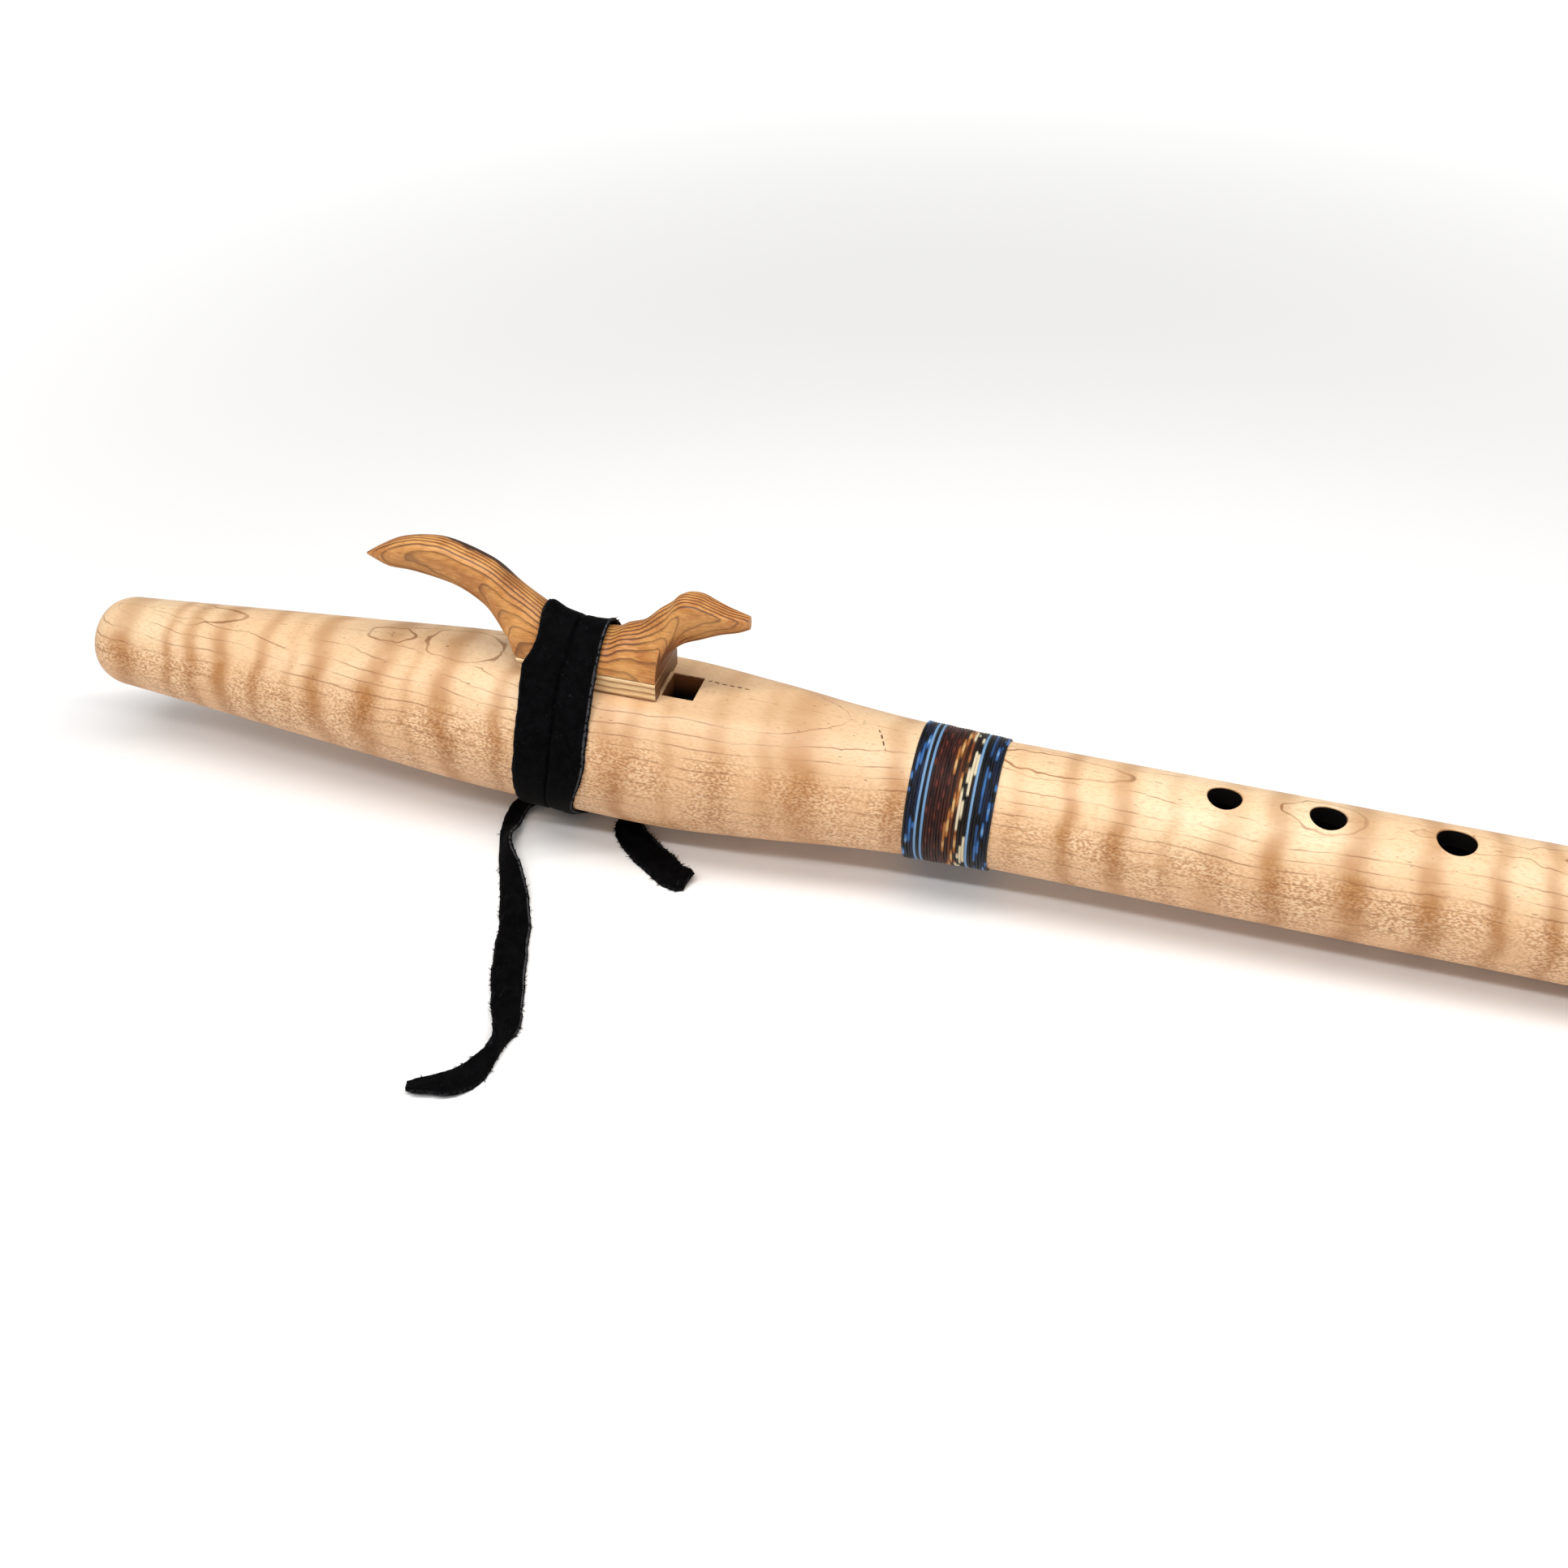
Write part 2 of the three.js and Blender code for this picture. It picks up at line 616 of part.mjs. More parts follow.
const maple = new THREE.MeshStandardMaterial({ color: 0xe6c99c, roughness: 0.38 });
const spruce = new THREE.MeshStandardMaterial({ color: 0xdcb877, roughness: 0.45 });
const cedar = new THREE.MeshStandardMaterial({ color: 0xb5743c, roughness: 0.4 });
const leather = new THREE.MeshStandardMaterial({ color: 0x131314, roughness: 0.7 });
const blueThread = new THREE.MeshStandardMaterial({ color: 0x22344f, roughness: 0.5 });
const brownThread = new THREE.MeshStandardMaterial({ color: 0x5b3024, roughness: 0.5 });

function named(name, geometry, material) {
  const mesh = new THREE.Mesh(geometry, material);
  mesh.name = name;
  return mesh;
}

// The flute in its own straight frame
function straightFlute() {
  const body = bodySolid();
  const plate = spacerPlate();
  const block = carvedBlock();
  const carried = [plate, block];
  const flute = new THREE.Group();
  flute.add(
    named('body_left_half', bodyHalf(body, 1), maple),
    named('body_right_half', bodyHalf(body, -1), maple),
    named('spacer_plate', plate, spruce),
    named('block', block, cedar),
    named('strap_wrap', strapWrap(carried), leather),
    named('strap_knot', strapKnot(), leather),
    named('blue_thread_head_side', threadWinding('blue_thread_head_side', 0, blueHeadTurns), blueThread),
    named('brown_thread', threadWinding('brown_thread', blueHeadTurns, brownTurns), brownThread),
    named('blue_thread_foot_side',
      threadWinding('blue_thread_foot_side', blueHeadTurns + brownTurns, blueFootTurns), blueThread),
  );
  return flute;
}

// The flute tilted onto the table, with the knot's underside at the table's origin
const flute = straightFlute();
flute.rotation.y = tilt;
flute.position.set(-knotStation, 0, knotDepth).applyAxisAngle(new THREE.Vector3(0, 1, 0), tilt);

// The origin is below the middle of the flute: its free lace ends don't count
const centre = new THREE.Box3().setFromObject(flute, true).getCenter(new THREE.Vector3());
const onTable = new THREE.Group();
onTable.add(
  flute,
  named('strap_tail_long', laceEnd('strap_tail_long', longTailRoute), leather),
  named('strap_tail_short', laceEnd('strap_tail_short', shortTailRoute), leather),
);
onTable.position.set(-centre.x, -centre.y, 0);

const assembly = new THREE.Group();
assembly.add(onTable);
export default assembly;
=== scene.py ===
import json
import math
from functools import reduce

import bpy
import numpy as np
from mathutils import Matrix, Vector


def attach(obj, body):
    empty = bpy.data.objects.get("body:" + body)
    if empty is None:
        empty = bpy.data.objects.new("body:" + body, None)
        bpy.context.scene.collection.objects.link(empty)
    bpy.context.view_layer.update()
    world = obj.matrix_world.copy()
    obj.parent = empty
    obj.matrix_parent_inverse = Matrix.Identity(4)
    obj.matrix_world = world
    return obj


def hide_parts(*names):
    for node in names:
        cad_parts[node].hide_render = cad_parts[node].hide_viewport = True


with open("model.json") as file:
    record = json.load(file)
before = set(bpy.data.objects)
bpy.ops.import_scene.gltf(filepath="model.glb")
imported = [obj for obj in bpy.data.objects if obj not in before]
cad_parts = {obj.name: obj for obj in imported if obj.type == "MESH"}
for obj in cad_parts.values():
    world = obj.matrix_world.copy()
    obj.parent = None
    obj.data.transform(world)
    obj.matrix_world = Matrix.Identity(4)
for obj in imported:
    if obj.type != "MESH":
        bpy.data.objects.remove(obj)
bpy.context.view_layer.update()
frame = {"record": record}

bl_info = {
    "name": "Wooden Flute",
    "version": (1, 0, 0),
    "blender": (4, 5, 0),
    "location": "View3D > Sidebar > Flute",
    "description": "Dresses a duct flute with a carved block, a leather lace and a thread whipping",
    "category": "Add Mesh",
}

# The flute's own straight frame, in millimetres: x from the mouth end along the flute, y to its
# left, z up from the sound chamber's axis. The record's foot mount says how it lies on the table.
FOOT = next(m for m in frame["record"]["mounts"] if m["name"] == "foot_end")
TILT = math.atan2(-FOOT["axis"][2], FOOT["axis"][0])
LENGTH = 506.3
FOOT_MARK = np.array([LENGTH, 7.0, 11.0])
TURN = np.array([[math.cos(TILT), 0, math.sin(TILT)],
                 [0, 1, 0],
                 [-math.sin(TILT), 0, math.cos(TILT)]])
SHIFT = np.array(FOOT["pos_m"]) * 1000 - TURN @ FOOT_MARK

# Laws of the body, in millimetres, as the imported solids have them: NEST is the height of the flat
# under the block, DROOP how far the middle sinks at the mouth end, WHIPPING where the threads start
TUBE_START = 249.8
TUBE_RADIUS = 16.0
BODY_RADII = [
    [0, 11.5], [26, 13.58], [50.8, 15.63], [80.5, 18.0], [110.2, 20.34], [138.2, 21.57],
    [161.3, 22], [190.5, 20.08], [210.9, 18.04], [227.7, 16.84], [TUBE_START, TUBE_RADIUS],
]
NEST = 18.2
NEST_SOFTNESS = 0.3
DROOP = 1.5
WHIPPING = 228.5
MOUTH_ROUNDING = 9.0
MOUTH_RIM = 5.75
FOOT_ROUNDING = 1.2

# The hollows: the breath hole, the air chamber, the two openings under the block and the bore
BREATH_RADIUS = 4.0
CHAMBER_START, CHAMBER_END, CHAMBER_RADIUS = 22.3, 144.9, 9.5
BORE_START, BORE_RADIUS = 162.9, 11.1
FLUE_START = 137.9
FLUE_HALF_WIDTH = 5.0
SPLIT_EDGE = 171.3
RAMP_END, RAMP_FOOT = 178.3, 5.55
SOUNDING_LENGTH = 335
# Finger holes: share of the sounding length, radius as a share of the bore's radius
FINGER_HOLES = [(0.391, 0.37), (0.463, 0.387), (0.55, 0.413), (0.642, 0.42), (0.719, 0.395),
                (0.803, 0.36)]
# Lengths that reach past the whole body, upwards and to all sides, and half the glue seam
ABOVE, BEYOND, HALF_SEAM = 30, 40, 0.01
# Corners of a ring of the body, of a hollow and of a finger hole
BODY_SIDES, HOLLOW_SIDES, HOLE_SIDES = 144, 64, 72
# The spacer plate: its levels, how far its rear face rakes, its eased corners and its flue groove
PLATE_BOTTOM, PLATE_THICKNESS, PLATE_RAKE, PLATE_EASING = 18.5, 5.0, 2.4, 0.25
PLATE_WIDTHS = [[0, 0.93], [0.25, 0.97], [0.6, 1], [1, 0.985]]
GROOVE_END, GROOVE_DEPTH = 170, 1.0
# The middle of the lace's knot, in millimetres along the table from the part's middle
KNOT_X = -117.5856


def on_table(points):
    """Straight-frame points in millimetres, turned and moved on to the table, in metres."""
    return (np.asarray(points, float) @ TURN.T + SHIFT) / 1000


def colour(hex_text, alpha=1.0):
    """An sRGB hex colour as linear red, green, blue and alpha."""
    parts = np.array([int(hex_text[i:i + 2], 16) for i in (0, 2, 4)]) / 255
    linear = np.where(parts <= 0.04045, parts / 12.92, ((parts + 0.055) / 1.055) ** 2.4)
    return (*linear.tolist(), alpha)


def through(rows, places):
    """Smooth values through rows of [place, value]: cubic pieces whose slopes are harmonic means,
    so that no value overshoots between two rows. Works on a whole array of places at once."""
    rows = np.asarray(rows, float)
    x, v = rows[:, 0], rows[:, 1]
    d = np.diff(v) / np.diff(x)
    t = np.empty_like(v)
    t[0], t[-1] = d[0], d[-1]
    same = d[:-1] * d[1:] > 0
    t[1:-1] = np.where(same, 2 * d[:-1] * d[1:] / np.where(same, d[:-1] + d[1:], 1), 0)
    p = np.clip(np.asarray(places, float), x[0], x[-1])
    i = np.clip(np.searchsorted(x, p, side="right") - 1, 0, len(x) - 2)
    h = x[i + 1] - x[i]
    s = (p - x[i]) / h
    ease = s * s * (3 - 2 * s)
    slopes = s * (1 - s) ** 2 * h * t[i] + s * s * (s - 1) * h * t[i + 1]
    return v[i] + (v[i + 1] - v[i]) * ease + slopes


def smoothstep(low, high, value):
    """0 below low, 1 above high, and a smooth rise between."""
    s = np.clip((value - low) / (high - low), 0, 1)
    return s * s * (3 - 2 * s)


def wavy(t, seed, *lengths):
    """A smooth uneven line of about -1 to 1 from a few sines."""
    waves = (np.sin(t / k * 2 * np.pi + seed * (i + 1.7)) for i, k in enumerate(lengths))
    return sum(waves) / len(lengths)


def body_radius(x):
    """Radius of the turned outside at x."""
    return np.where(np.asarray(x) >= TUBE_START, TUBE_RADIUS, through(BODY_RADII, x))


def body_centre(x):
    """Height of the middle of the outside at x: it sinks steadily towards the mouth end."""
    return -DROOP * np.clip(1 - np.asarray(x) / WHIPPING, 0, None)


def linked_object(name, points, faces):
    """A smooth-shaded object in the scene, from points in metres and faces."""
    mesh = bpy.data.meshes.new(name)
    mesh.from_pydata(np.asarray(points, float).tolist(), [], faces)
    mesh.validate()
    mesh.update()
    mesh.shade_smooth()
    made = bpy.data.objects.new(name, mesh)
    bpy.context.scene.collection.objects.link(made)
    return made


def mesh_object(name, points, faces, sharp=40.0):
    """An object from straight-frame points in millimetres, shaded smooth up to a sharp angle."""
    made = linked_object(name, on_table(points), faces)
    made.data.set_sharp_from_angle(angle=math.radians(sharp))
    return made


def grid_faces(rows, columns):
    """Quads of a grid of points, row by row, each row closed to a ring."""
    r, c = np.arange(rows - 1)[:, None] * columns, np.arange(columns)[None, :]
    c2 = (c + 1) % columns
    quads = np.stack([r + c, r + c2, r + columns + c2, r + columns + c], -1)
    return quads.reshape(-1, 4).tolist()


def capped(grid):
    """Points and faces of a closed tube-like grid [row, column, xyz] whose first and last rings are
    closed by a fan to their middle point. The faces are turned so that the volume is positive."""
    rows, columns = grid.shape[:2]
    points = np.concatenate([grid.reshape(-1, 3), grid[0].mean(0)[None], grid[-1].mean(0)[None]])
    faces = grid_faces(rows, columns)
    first, last, base = rows * columns, rows * columns + 1, (rows - 1) * columns
    faces += [[first, (j + 1) % columns, j] for j in range(columns)]
    faces += [[last, base + j, base + (j + 1) % columns] for j in range(columns)]
    tri = np.array([[f[0], f[k], f[k + 1]] for f in faces for k in range(1, len(f) - 1)])
    a, b, c = points[tri[:, 0]], points[tri[:, 1]], points[tri[:, 2]]
    if np.einsum("ij,ij->i", a, np.cross(b, c)).sum() < 0:
        faces = [f[::-1] for f in faces]
    return points, faces


def solid_from_grid(name, grid, sharp=40.0):
    """A closed object from a ring-by-ring grid."""
    return mesh_object(name, *capped(np.asarray(grid, float)), sharp=sharp)


def cut(target, cutter, operation="DIFFERENCE"):
    """Cuts target with a closed cutter, or keeps only what they share, and removes the cutter."""
    step = target.modifiers.new("cut", "BOOLEAN")
    step.operation = operation
    step.solver = "MANIFOLD"
    step.object = cutter
    graph = bpy.context.evaluated_depsgraph_get()
    done = bpy.data.meshes.new_from_object(target.evaluated_get(graph))
    target.modifiers.clear()
    target.data = done
    bpy.data.objects.remove(cutter)


def reshade(made, sharp=32.0):
    """Smooth shading with sharp edges again, after cuts have made new ones."""
    made.data.shade_smooth()
    made.data.set_sharp_from_angle(angle=math.radians(sharp))


def read(items, key, width=1, kind=np.float32):
    """One property of all the items of a mesh, as an array with width numbers for each."""
    values = np.empty(len(items) * width, kind)
    items.foreach_get(key, values)
    return values.reshape(-1, width) if width > 1 else values


def straight_points(made):
    """An object's points in the flute's straight frame, in millimetres."""
    return (read(made.data.vertices, "co", 3).astype(float) * 1000 - SHIFT) @ TURN


def set_attribute(made, name, values):
    """One number per point of the mesh, for a material to read."""
    layer = made.data.attributes.new(name, "FLOAT", "POINT")
    layer.data.foreach_set("value", np.asarray(values, np.float32))


def padded(values, more=0, cap=0.0):
    """Values of a capped grid's points, then those of its two cap points and zero for more."""
    return np.concatenate([np.reshape(values, -1), [cap, cap], np.zeros(more)])


def seat_piece(made, body, slot, material, *nodes):
    """Puts a finished piece on its body, in its finish, in place of the solids it stands for."""
    made.data.materials.clear()
    made.data.materials.append(material)
    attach(made, body)
    if nodes:
        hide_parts(*nodes)


def add(tree, kind, links=None, **settings):
    """Adds a node with its settings. links gives each input, by name or number, a socket or a
    value."""
    made = tree.nodes.new(kind)
    for key, value in settings.items():
        setattr(made, key, value)
    for key, value in (links or {}).items():
        if isinstance(value, bpy.types.NodeSocket):
            tree.links.new(value, made.inputs[key])
        else:
            made.inputs[key].default_value = value
    return made


class Nodes:
    """A new material, and short calls that add nodes to it. A value is a socket or a number."""

    def __init__(self, name):
        self.material = bpy.data.materials.new(name)
        self.material.use_nodes = True
        self.tree = self.material.node_tree
        self.tree.nodes.clear()

    def math(self, operation, *values, clamp=False):
        """One arithmetic node."""
        made = add(self.tree, "ShaderNodeMath", dict(enumerate(values)), operation=operation)
        made.use_clamp = clamp
        return made.outputs[0]

    def times(self, *values):
        """The product of the values."""
        return reduce(lambda a, b: self.math("MULTIPLY", a, b), values)

    def plus(self, *values):
        """The sum of the values."""
        return reduce(lambda a, b: self.math("ADD", a, b), values)

    def size(self, value):
        """The value without its sign."""
        return self.math("ABSOLUTE", value)

    def tuned(self, value, factor, offset=0.0):
        """value times factor plus offset."""
        return self.math("MULTIPLY_ADD", value, factor, offset)

    def between(self, value, low, high):
        """0 at low, 1 at high, smooth between."""
        links = {0: value, 1: low, 2: high}
        made = add(self.tree, "ShaderNodeMapRange", links, interpolation_type="SMOOTHSTEP")
        return made.outputs[0]

    def mix(self, share, first, second):
        """Two colours mixed by a share."""
        links = {0: share, 6: first, 7: second}
        return add(self.tree, "ShaderNodeMix", links, data_type="RGBA").outputs[2]

    def coat(self, base, tint, *shares):
        """A colour over base, as strong as the product of the shares."""
        return self.mix(self.times(*shares), base, tint)

    def spread(self, place, x, y, z):
        """A place scaled along each axis, so that a noise of scale 1 has x, y and z lumps per
        unit."""
        return add(self.tree, "ShaderNodeMapping", {"Vector": place, "Scale": (x, y, z)}).outputs[0]

    def noise(self, place, scale=1.0, detail=2.0, roughness=0.5):
        """Noise of a given number of lumps per unit of place."""
        links = {"Vector": place, "Scale": scale, "Detail": detail, "Roughness": roughness}
        return add(self.tree, "ShaderNodeTexNoise", links).outputs[0]

    def place(self, kind="Object"):
        """The place on the object, in metres, or its UV."""
        return add(self.tree, "ShaderNodeTexCoord").outputs[kind]

    def straight_place(self):
        """The place in the flute's straight frame, in millimetres."""
        links = {"Vector": self.place(), "Location": (-(TURN.T @ SHIFT)).tolist(),
                 "Rotation": (0, -TILT, 0), "Scale": (1000, 1000, 1000)}
        return add(self.tree, "ShaderNodeMapping", links).outputs[0]

    def axes(self, vector):
        """The three parts of a vector."""
        return list(add(self.tree, "ShaderNodeSeparateXYZ", {0: vector}).outputs)

    def facing(self):
        """The three parts of the surface's normal."""
        return self.axes(add(self.tree, "ShaderNodeNewGeometry").outputs["Normal"])

    def attribute(self, name, output="Fac"):
        """An attribute of the mesh."""
        return add(self.tree, "ShaderNodeAttribute", attribute_name=name).outputs[output]

    def done(self, base, rough, height, strength, distance, **shader):
        """The last nodes: a bump from a height, the shader with its constants, and the output."""
        links = {"Height": height, "Strength": strength, "Distance": distance}
        bump = add(self.tree, "ShaderNodeBump", links).outputs[0]
        links = {"Base Color": base, "Roughness": rough, "Normal": bump}
        links.update({key.replace("_", " "): value for key, value in shader.items()})
        surface = add(self.tree, "ShaderNodeBsdfPrincipled", links).outputs[0]
        add(self.tree, "ShaderNodeOutputMaterial", {"Surface": surface})
        return self.material


# Closed growth lines on top: middle x, half length, middle side, half width, power
LOOP_LINES = [
    (87.3, 6.8, 0, 3.3, 2.2), (107.6, 9.8, 1.2, 5.4, 2.0), (30, 14, 0, 4.6, 1.7),
    (262, 18.5, 0, 4.0, 1.6), (326, 9.5, 0, 6.0, 1.8), (348.6, 2.8, 0, 1.2, 1.2),
    (394.3, 14, 0, 3.4, 1.6), (436.3, 11, 0, 3.1, 1.6), (474.3, 15, 0, 3.6, 1.6),
]
# Hairline splits on top, from (x, y) to (x, y)
CRACKS = [((172.2, 4.3), (184.5, 3.6)), ((218, -1.2), (221.5, -7.4))]


def contour(n, matched):
    """1 on the LOOP_LINES, mirrored over the seam, 0 off them. A line lies where
    |u|^power + |v|^power = 1, wandering by a noise in millimetres."""
    links = {"Vector": matched, "Scale": 1 / 5.5, "Detail": 1.6}
    drift = add(n.tree, "ShaderNodeTexNoise", links).outputs["Color"]
    links = {0: drift, 1: (7.0, 3.2, 0), 2: (-3.5, -1.6, 0)}
    moved = add(n.tree, "ShaderNodeVectorMath", links, operation="MULTIPLY_ADD").outputs[0]
    here = add(n.tree, "ShaderNodeVectorMath", {0: matched, 1: moved}, operation="ADD").outputs[0]
    x, y, z = n.axes(here)
    drawn = 0.0
    for middle, long, side, wide, power in LOOP_LINES:
        u = n.math("POWER", n.size(n.tuned(x, 1 / long, -middle / long)), power)
        v = n.math("POWER", n.size(n.tuned(y, 1 / wide, -side / wide)), power)
        reach = n.math("POWER", n.plus(u, v), 1 / power)
        off = n.size(n.tuned(reach, wide, -wide))
        drawn = n.math("MAXIMUM", drawn, n.between(off, 0.38, 0.12))
    return n.times(drawn, n.between(z, 11, 12.5))


def crack(n, parts, wander, start, end):
    """1 on a hairline split between two places (x, y), 0 off it. It wanders by a noise in mm."""
    x, y, z = parts
    run = np.array(end) - start
    length = float(np.linalg.norm(run))
    ux, uy = (run / length).tolist()
    along = n.plus(n.tuned(x, ux, -ux * start[0]), n.tuned(y, uy, -uy * start[1]))
    off = n.plus(n.tuned(x, -uy, uy * start[0]), n.tuned(y, ux, -ux * start[1]))
    near = n.between(n.size(n.plus(off, wander)), 0.26, 0.1)
    ends = n.times(n.between(along, -0.2, 0.8), n.between(along, length + 0.2, length - 2))
    broken = n.between(n.math("SINE", n.tuned(along, 3.1)), -0.9, 0.2)
    return n.times(near, ends, broken, n.between(z, 10, 11))


# Curly maple, routed, turned and varnished: cream wood with amber flame bands across the grain,
# thin brown growth lines along it and a satin shine, with a soft highlight along the top. Painted
# shade darkens the flanks and the bore and holes, and painted highlights lie on the ripple.
def varnished_maple(look):
    n = Nodes("varnished_curly_maple")
    place = n.straight_place()
    x, y, z = n.axes(place)
    side = n.size(y)
    matched = add(n.tree, "ShaderNodeCombineXYZ", {0: x, 1: side, 2: z}).outputs[0]
    up = n.facing()[2]
    flame, rings, inside = (n.attribute(name) for name in ("curl", "rings", "inside"))

    # growth lines about 0.3 mm wide whatever their slant to the surface
    waver, fine_waver = n.noise(matched, 1 / 8.0, 1.0), n.noise(matched, 1 / 2.2, 1.0)
    count = n.plus(rings, n.tuned(waver, 0.34, -0.17), n.tuned(fine_waver, 0.1, -0.05))
    off_line = n.size(n.tuned(n.math("FRACT", count), 2.0, -1.0))
    slant = n.math("SQRT", n.math("SUBTRACT", 1.02, n.times(up, up)))
    line = n.math("SUBTRACT", 1.0, n.math("DIVIDE", off_line, n.times(slant, 0.21)), clamp=True)
    faded = n.between(n.noise(matched, 1 / 11.0), 0.38, 0.62)
    low_fade = n.tuned(n.between(up, 0.55, 0.1), -0.5, 1.0)
    line = n.times(line, n.tuned(faded, 0.82, 0.18), low_fade)

    # flame bands, softer on top and underneath, broken up a little along their length
    broken = n.noise(n.spread(place, 0.12, 0.2, 0.2), 1.0, 3.0)
    top_fade = n.tuned(n.between(up, 0.99, 0.6), 0.35, 0.6)
    under_fade = n.tuned(n.between(up, 0.3, -0.3), -0.25, 1.0)
    band = n.times(flame, n.tuned(n.between(broken, 0.1, 0.55), 0.5, 0.45))
    band = n.math("MULTIPLY", band, n.times(top_fade, under_fade), clamp=True)

    # fine ripple of the curl on the flanks, small dashes about 1 mm long: dark ticks, and pale dashes
    # that are painted highlights
    ripple = n.noise(n.spread(place, 1.15, 2.3, 2.3), 1.0, 1.0, 0.4)
    patchy = n.between(n.noise(place, 1 / 12.0, 1.0), 0.3, 0.62)
    flank = n.times(n.between(up, 0.75, 0.3), n.tuned(patchy, 0.7, 0.3))
    ripple_dark = n.times(n.between(ripple, 0.5, 0.4), flank)
    ripple_painted_highlight = n.times(n.between(ripple, 0.53, 0.62), flank, n.tuned(band, -0.8, 1.0))

    # small dark flecks, 1 to 2 mm long, and fine pores
    fleck = n.between(n.noise(n.spread(place, 0.42, 2.1, 2.1), 1.0, 1.0), 0.745, 0.785)
    pores = n.noise(n.spread(place, 0.7, 2.4, 2.4))

    cloud = n.noise(matched, 1 / 30.0, 3.0)
    base = n.mix(n.between(cloud, 0.32, 0.68), look.maple_pale[:], look.maple_warm[:])
    belly = n.times(n.tuned(n.between(x, 125, 165), 0.4, 0.2), n.between(x, 250, 205))
    base = n.coat(base, colour("CFA57A"), belly)
    # painted shade: the maple is coloured darker where its surface turns from the top down the sides,
    # where less light falls
    base = n.coat(base, look.maple_side_shade[:], n.between(up, 0.93, 0.2), 0.8)
    base = n.coat(base, look.maple_flame[:], band)
    base = n.coat(base, colour("8A5426"), ripple_dark, 0.55)
    # painted highlight: pale dashes on the ripple
    base = n.coat(base, colour("FBE6C4"), ripple_painted_highlight, 0.4)
    base = n.coat(base, colour("C48E5E"), n.tuned(n.between(pores, 0.48, 0.7), 0.34))
    base = n.coat(base, look.growth_line[:], line, 0.8)
    base = n.coat(base, colour("8A5426"), contour(n, matched), n.tuned(faded, 0.45, 0.35))
    base = n.coat(base, colour("5E3A20"), fleck, 0.75)
    seam = n.between(side, 0.11, 0.05)
    base = n.coat(base, colour("9A6A44"), seam, n.tuned(n.between(pores, 0.42, 0.6), 0.5))
    wander = n.tuned(fine_waver, 0.9, -0.45)
    for start, end in CRACKS:
        base = n.coat(base, colour("5A3018"), crack(n, (x, y, z), wander, start, end))

    # the bore and the finger holes are painted near black as shade deep inside them, the sound hole
    # is plain brown near its top
    plain = n.times(n.between(z, 11, 17.5), n.between(x, 186, 183))
    # painted shade: near black on the walls below the sound hole's top
    wall_with_painted_shade = n.mix(plain, look.painted_bore_shade[:], colour("7A4826"))
    base = n.mix(n.between(inside, 0.03, 0.12), base, wall_with_painted_shade)
    height = n.plus(n.tuned(pores, 0.3), n.tuned(line, -0.6), n.tuned(ripple_painted_highlight, 0.4))
    return n.done(base, n.tuned(pores, 0.16, 0.42), height, 0.3, 0.00008, IOR=1.45,
                  Coat_Weight=n.tuned(inside, -0.1, 0.1), Coat_Roughness=0.35)


# Quarter-sawn cedar, carved, sanded and oiled: orange-brown with fine dark latewood lines that lie
# straight on top and swirl where the carving cuts across them, painted shade on the faces that look
# down, and a darker far top edge on the tail.
def oiled_cedar(look):
    n = Nodes("oiled_carved_cedar")
    place = n.straight_place()
    x, y, _ = n.axes(place)
    ahead, _, up = n.facing()

    # latewood lines 1.05 mm apart across the block, wide on top and sharp on the carved flanks
    swell = n.noise(n.spread(place, 0.05, 0.08, 0.08), 1.0, 1.0)
    bend = n.noise(place, 1 / 5.0, 1.0)
    across = n.plus(y, n.tuned(swell, 1.8, -0.9), n.tuned(bend, 0.5, -0.25))
    ring = n.math("FRACT", n.tuned(across, 1 / 1.05))
    wide_line = n.times(n.between(ring, 0.46, 0.74), n.between(ring, 1.0, 0.9))
    sharp_line = n.times(n.between(ring, 0.72, 0.92), n.between(ring, 1.0, 0.96), 0.62)
    late = n.mix(n.between(n.size(up), 0.25, 0.7), sharp_line, wide_line)

    fibre = n.noise(n.spread(place, 0.3, 3.5, 2.2), 1.0, 3.0)
    cloud = n.noise(place, 1 / 8.0)
    fleck = n.between(n.noise(n.spread(place, 1.2, 2.2, 2.2), 1.0, 1.0), 0.72, 0.78)
    end_grain = n.times(n.between(ahead, 0.55, 0.9), n.between(x, 176, 168))
    base = n.mix(n.between(cloud, 0.35, 0.65), look.cedar_light[:], look.cedar_warm[:])
    # painted shade: darker where the carving's surface faces down
    base = n.coat(base, colour("7A4A24"), n.between(up, -0.1, -0.7), 0.5)
    base = n.coat(base, colour("E8B272"), n.between(fibre, 0.45, 0.7), 0.35)
    base = n.coat(base, colour("8E5628"), n.between(fibre, 0.5, 0.3), 0.3)
    base = n.coat(base, look.cedar_line[:], late, n.tuned(n.between(cloud, 0.2, 0.6), 0.2, 0.7))
    base = n.coat(base, colour("5A2E12"), fleck, 0.6)
    base = n.coat(base, colour("5C2E12"), end_grain, 0.85)
    # darker along the tail's far top edge
    base = n.coat(base, colour("2A1208"), n.attribute("far_edge_dark"))
    height = n.plus(n.tuned(fibre, 0.4), n.tuned(late, 0.5))
    return n.done(base, n.tuned(fibre, 0.15, 0.42), height, 0.3, 0.00012, IOR=1.45,
                  Coat_Weight=0.05, Coat_Roughness=0.35)


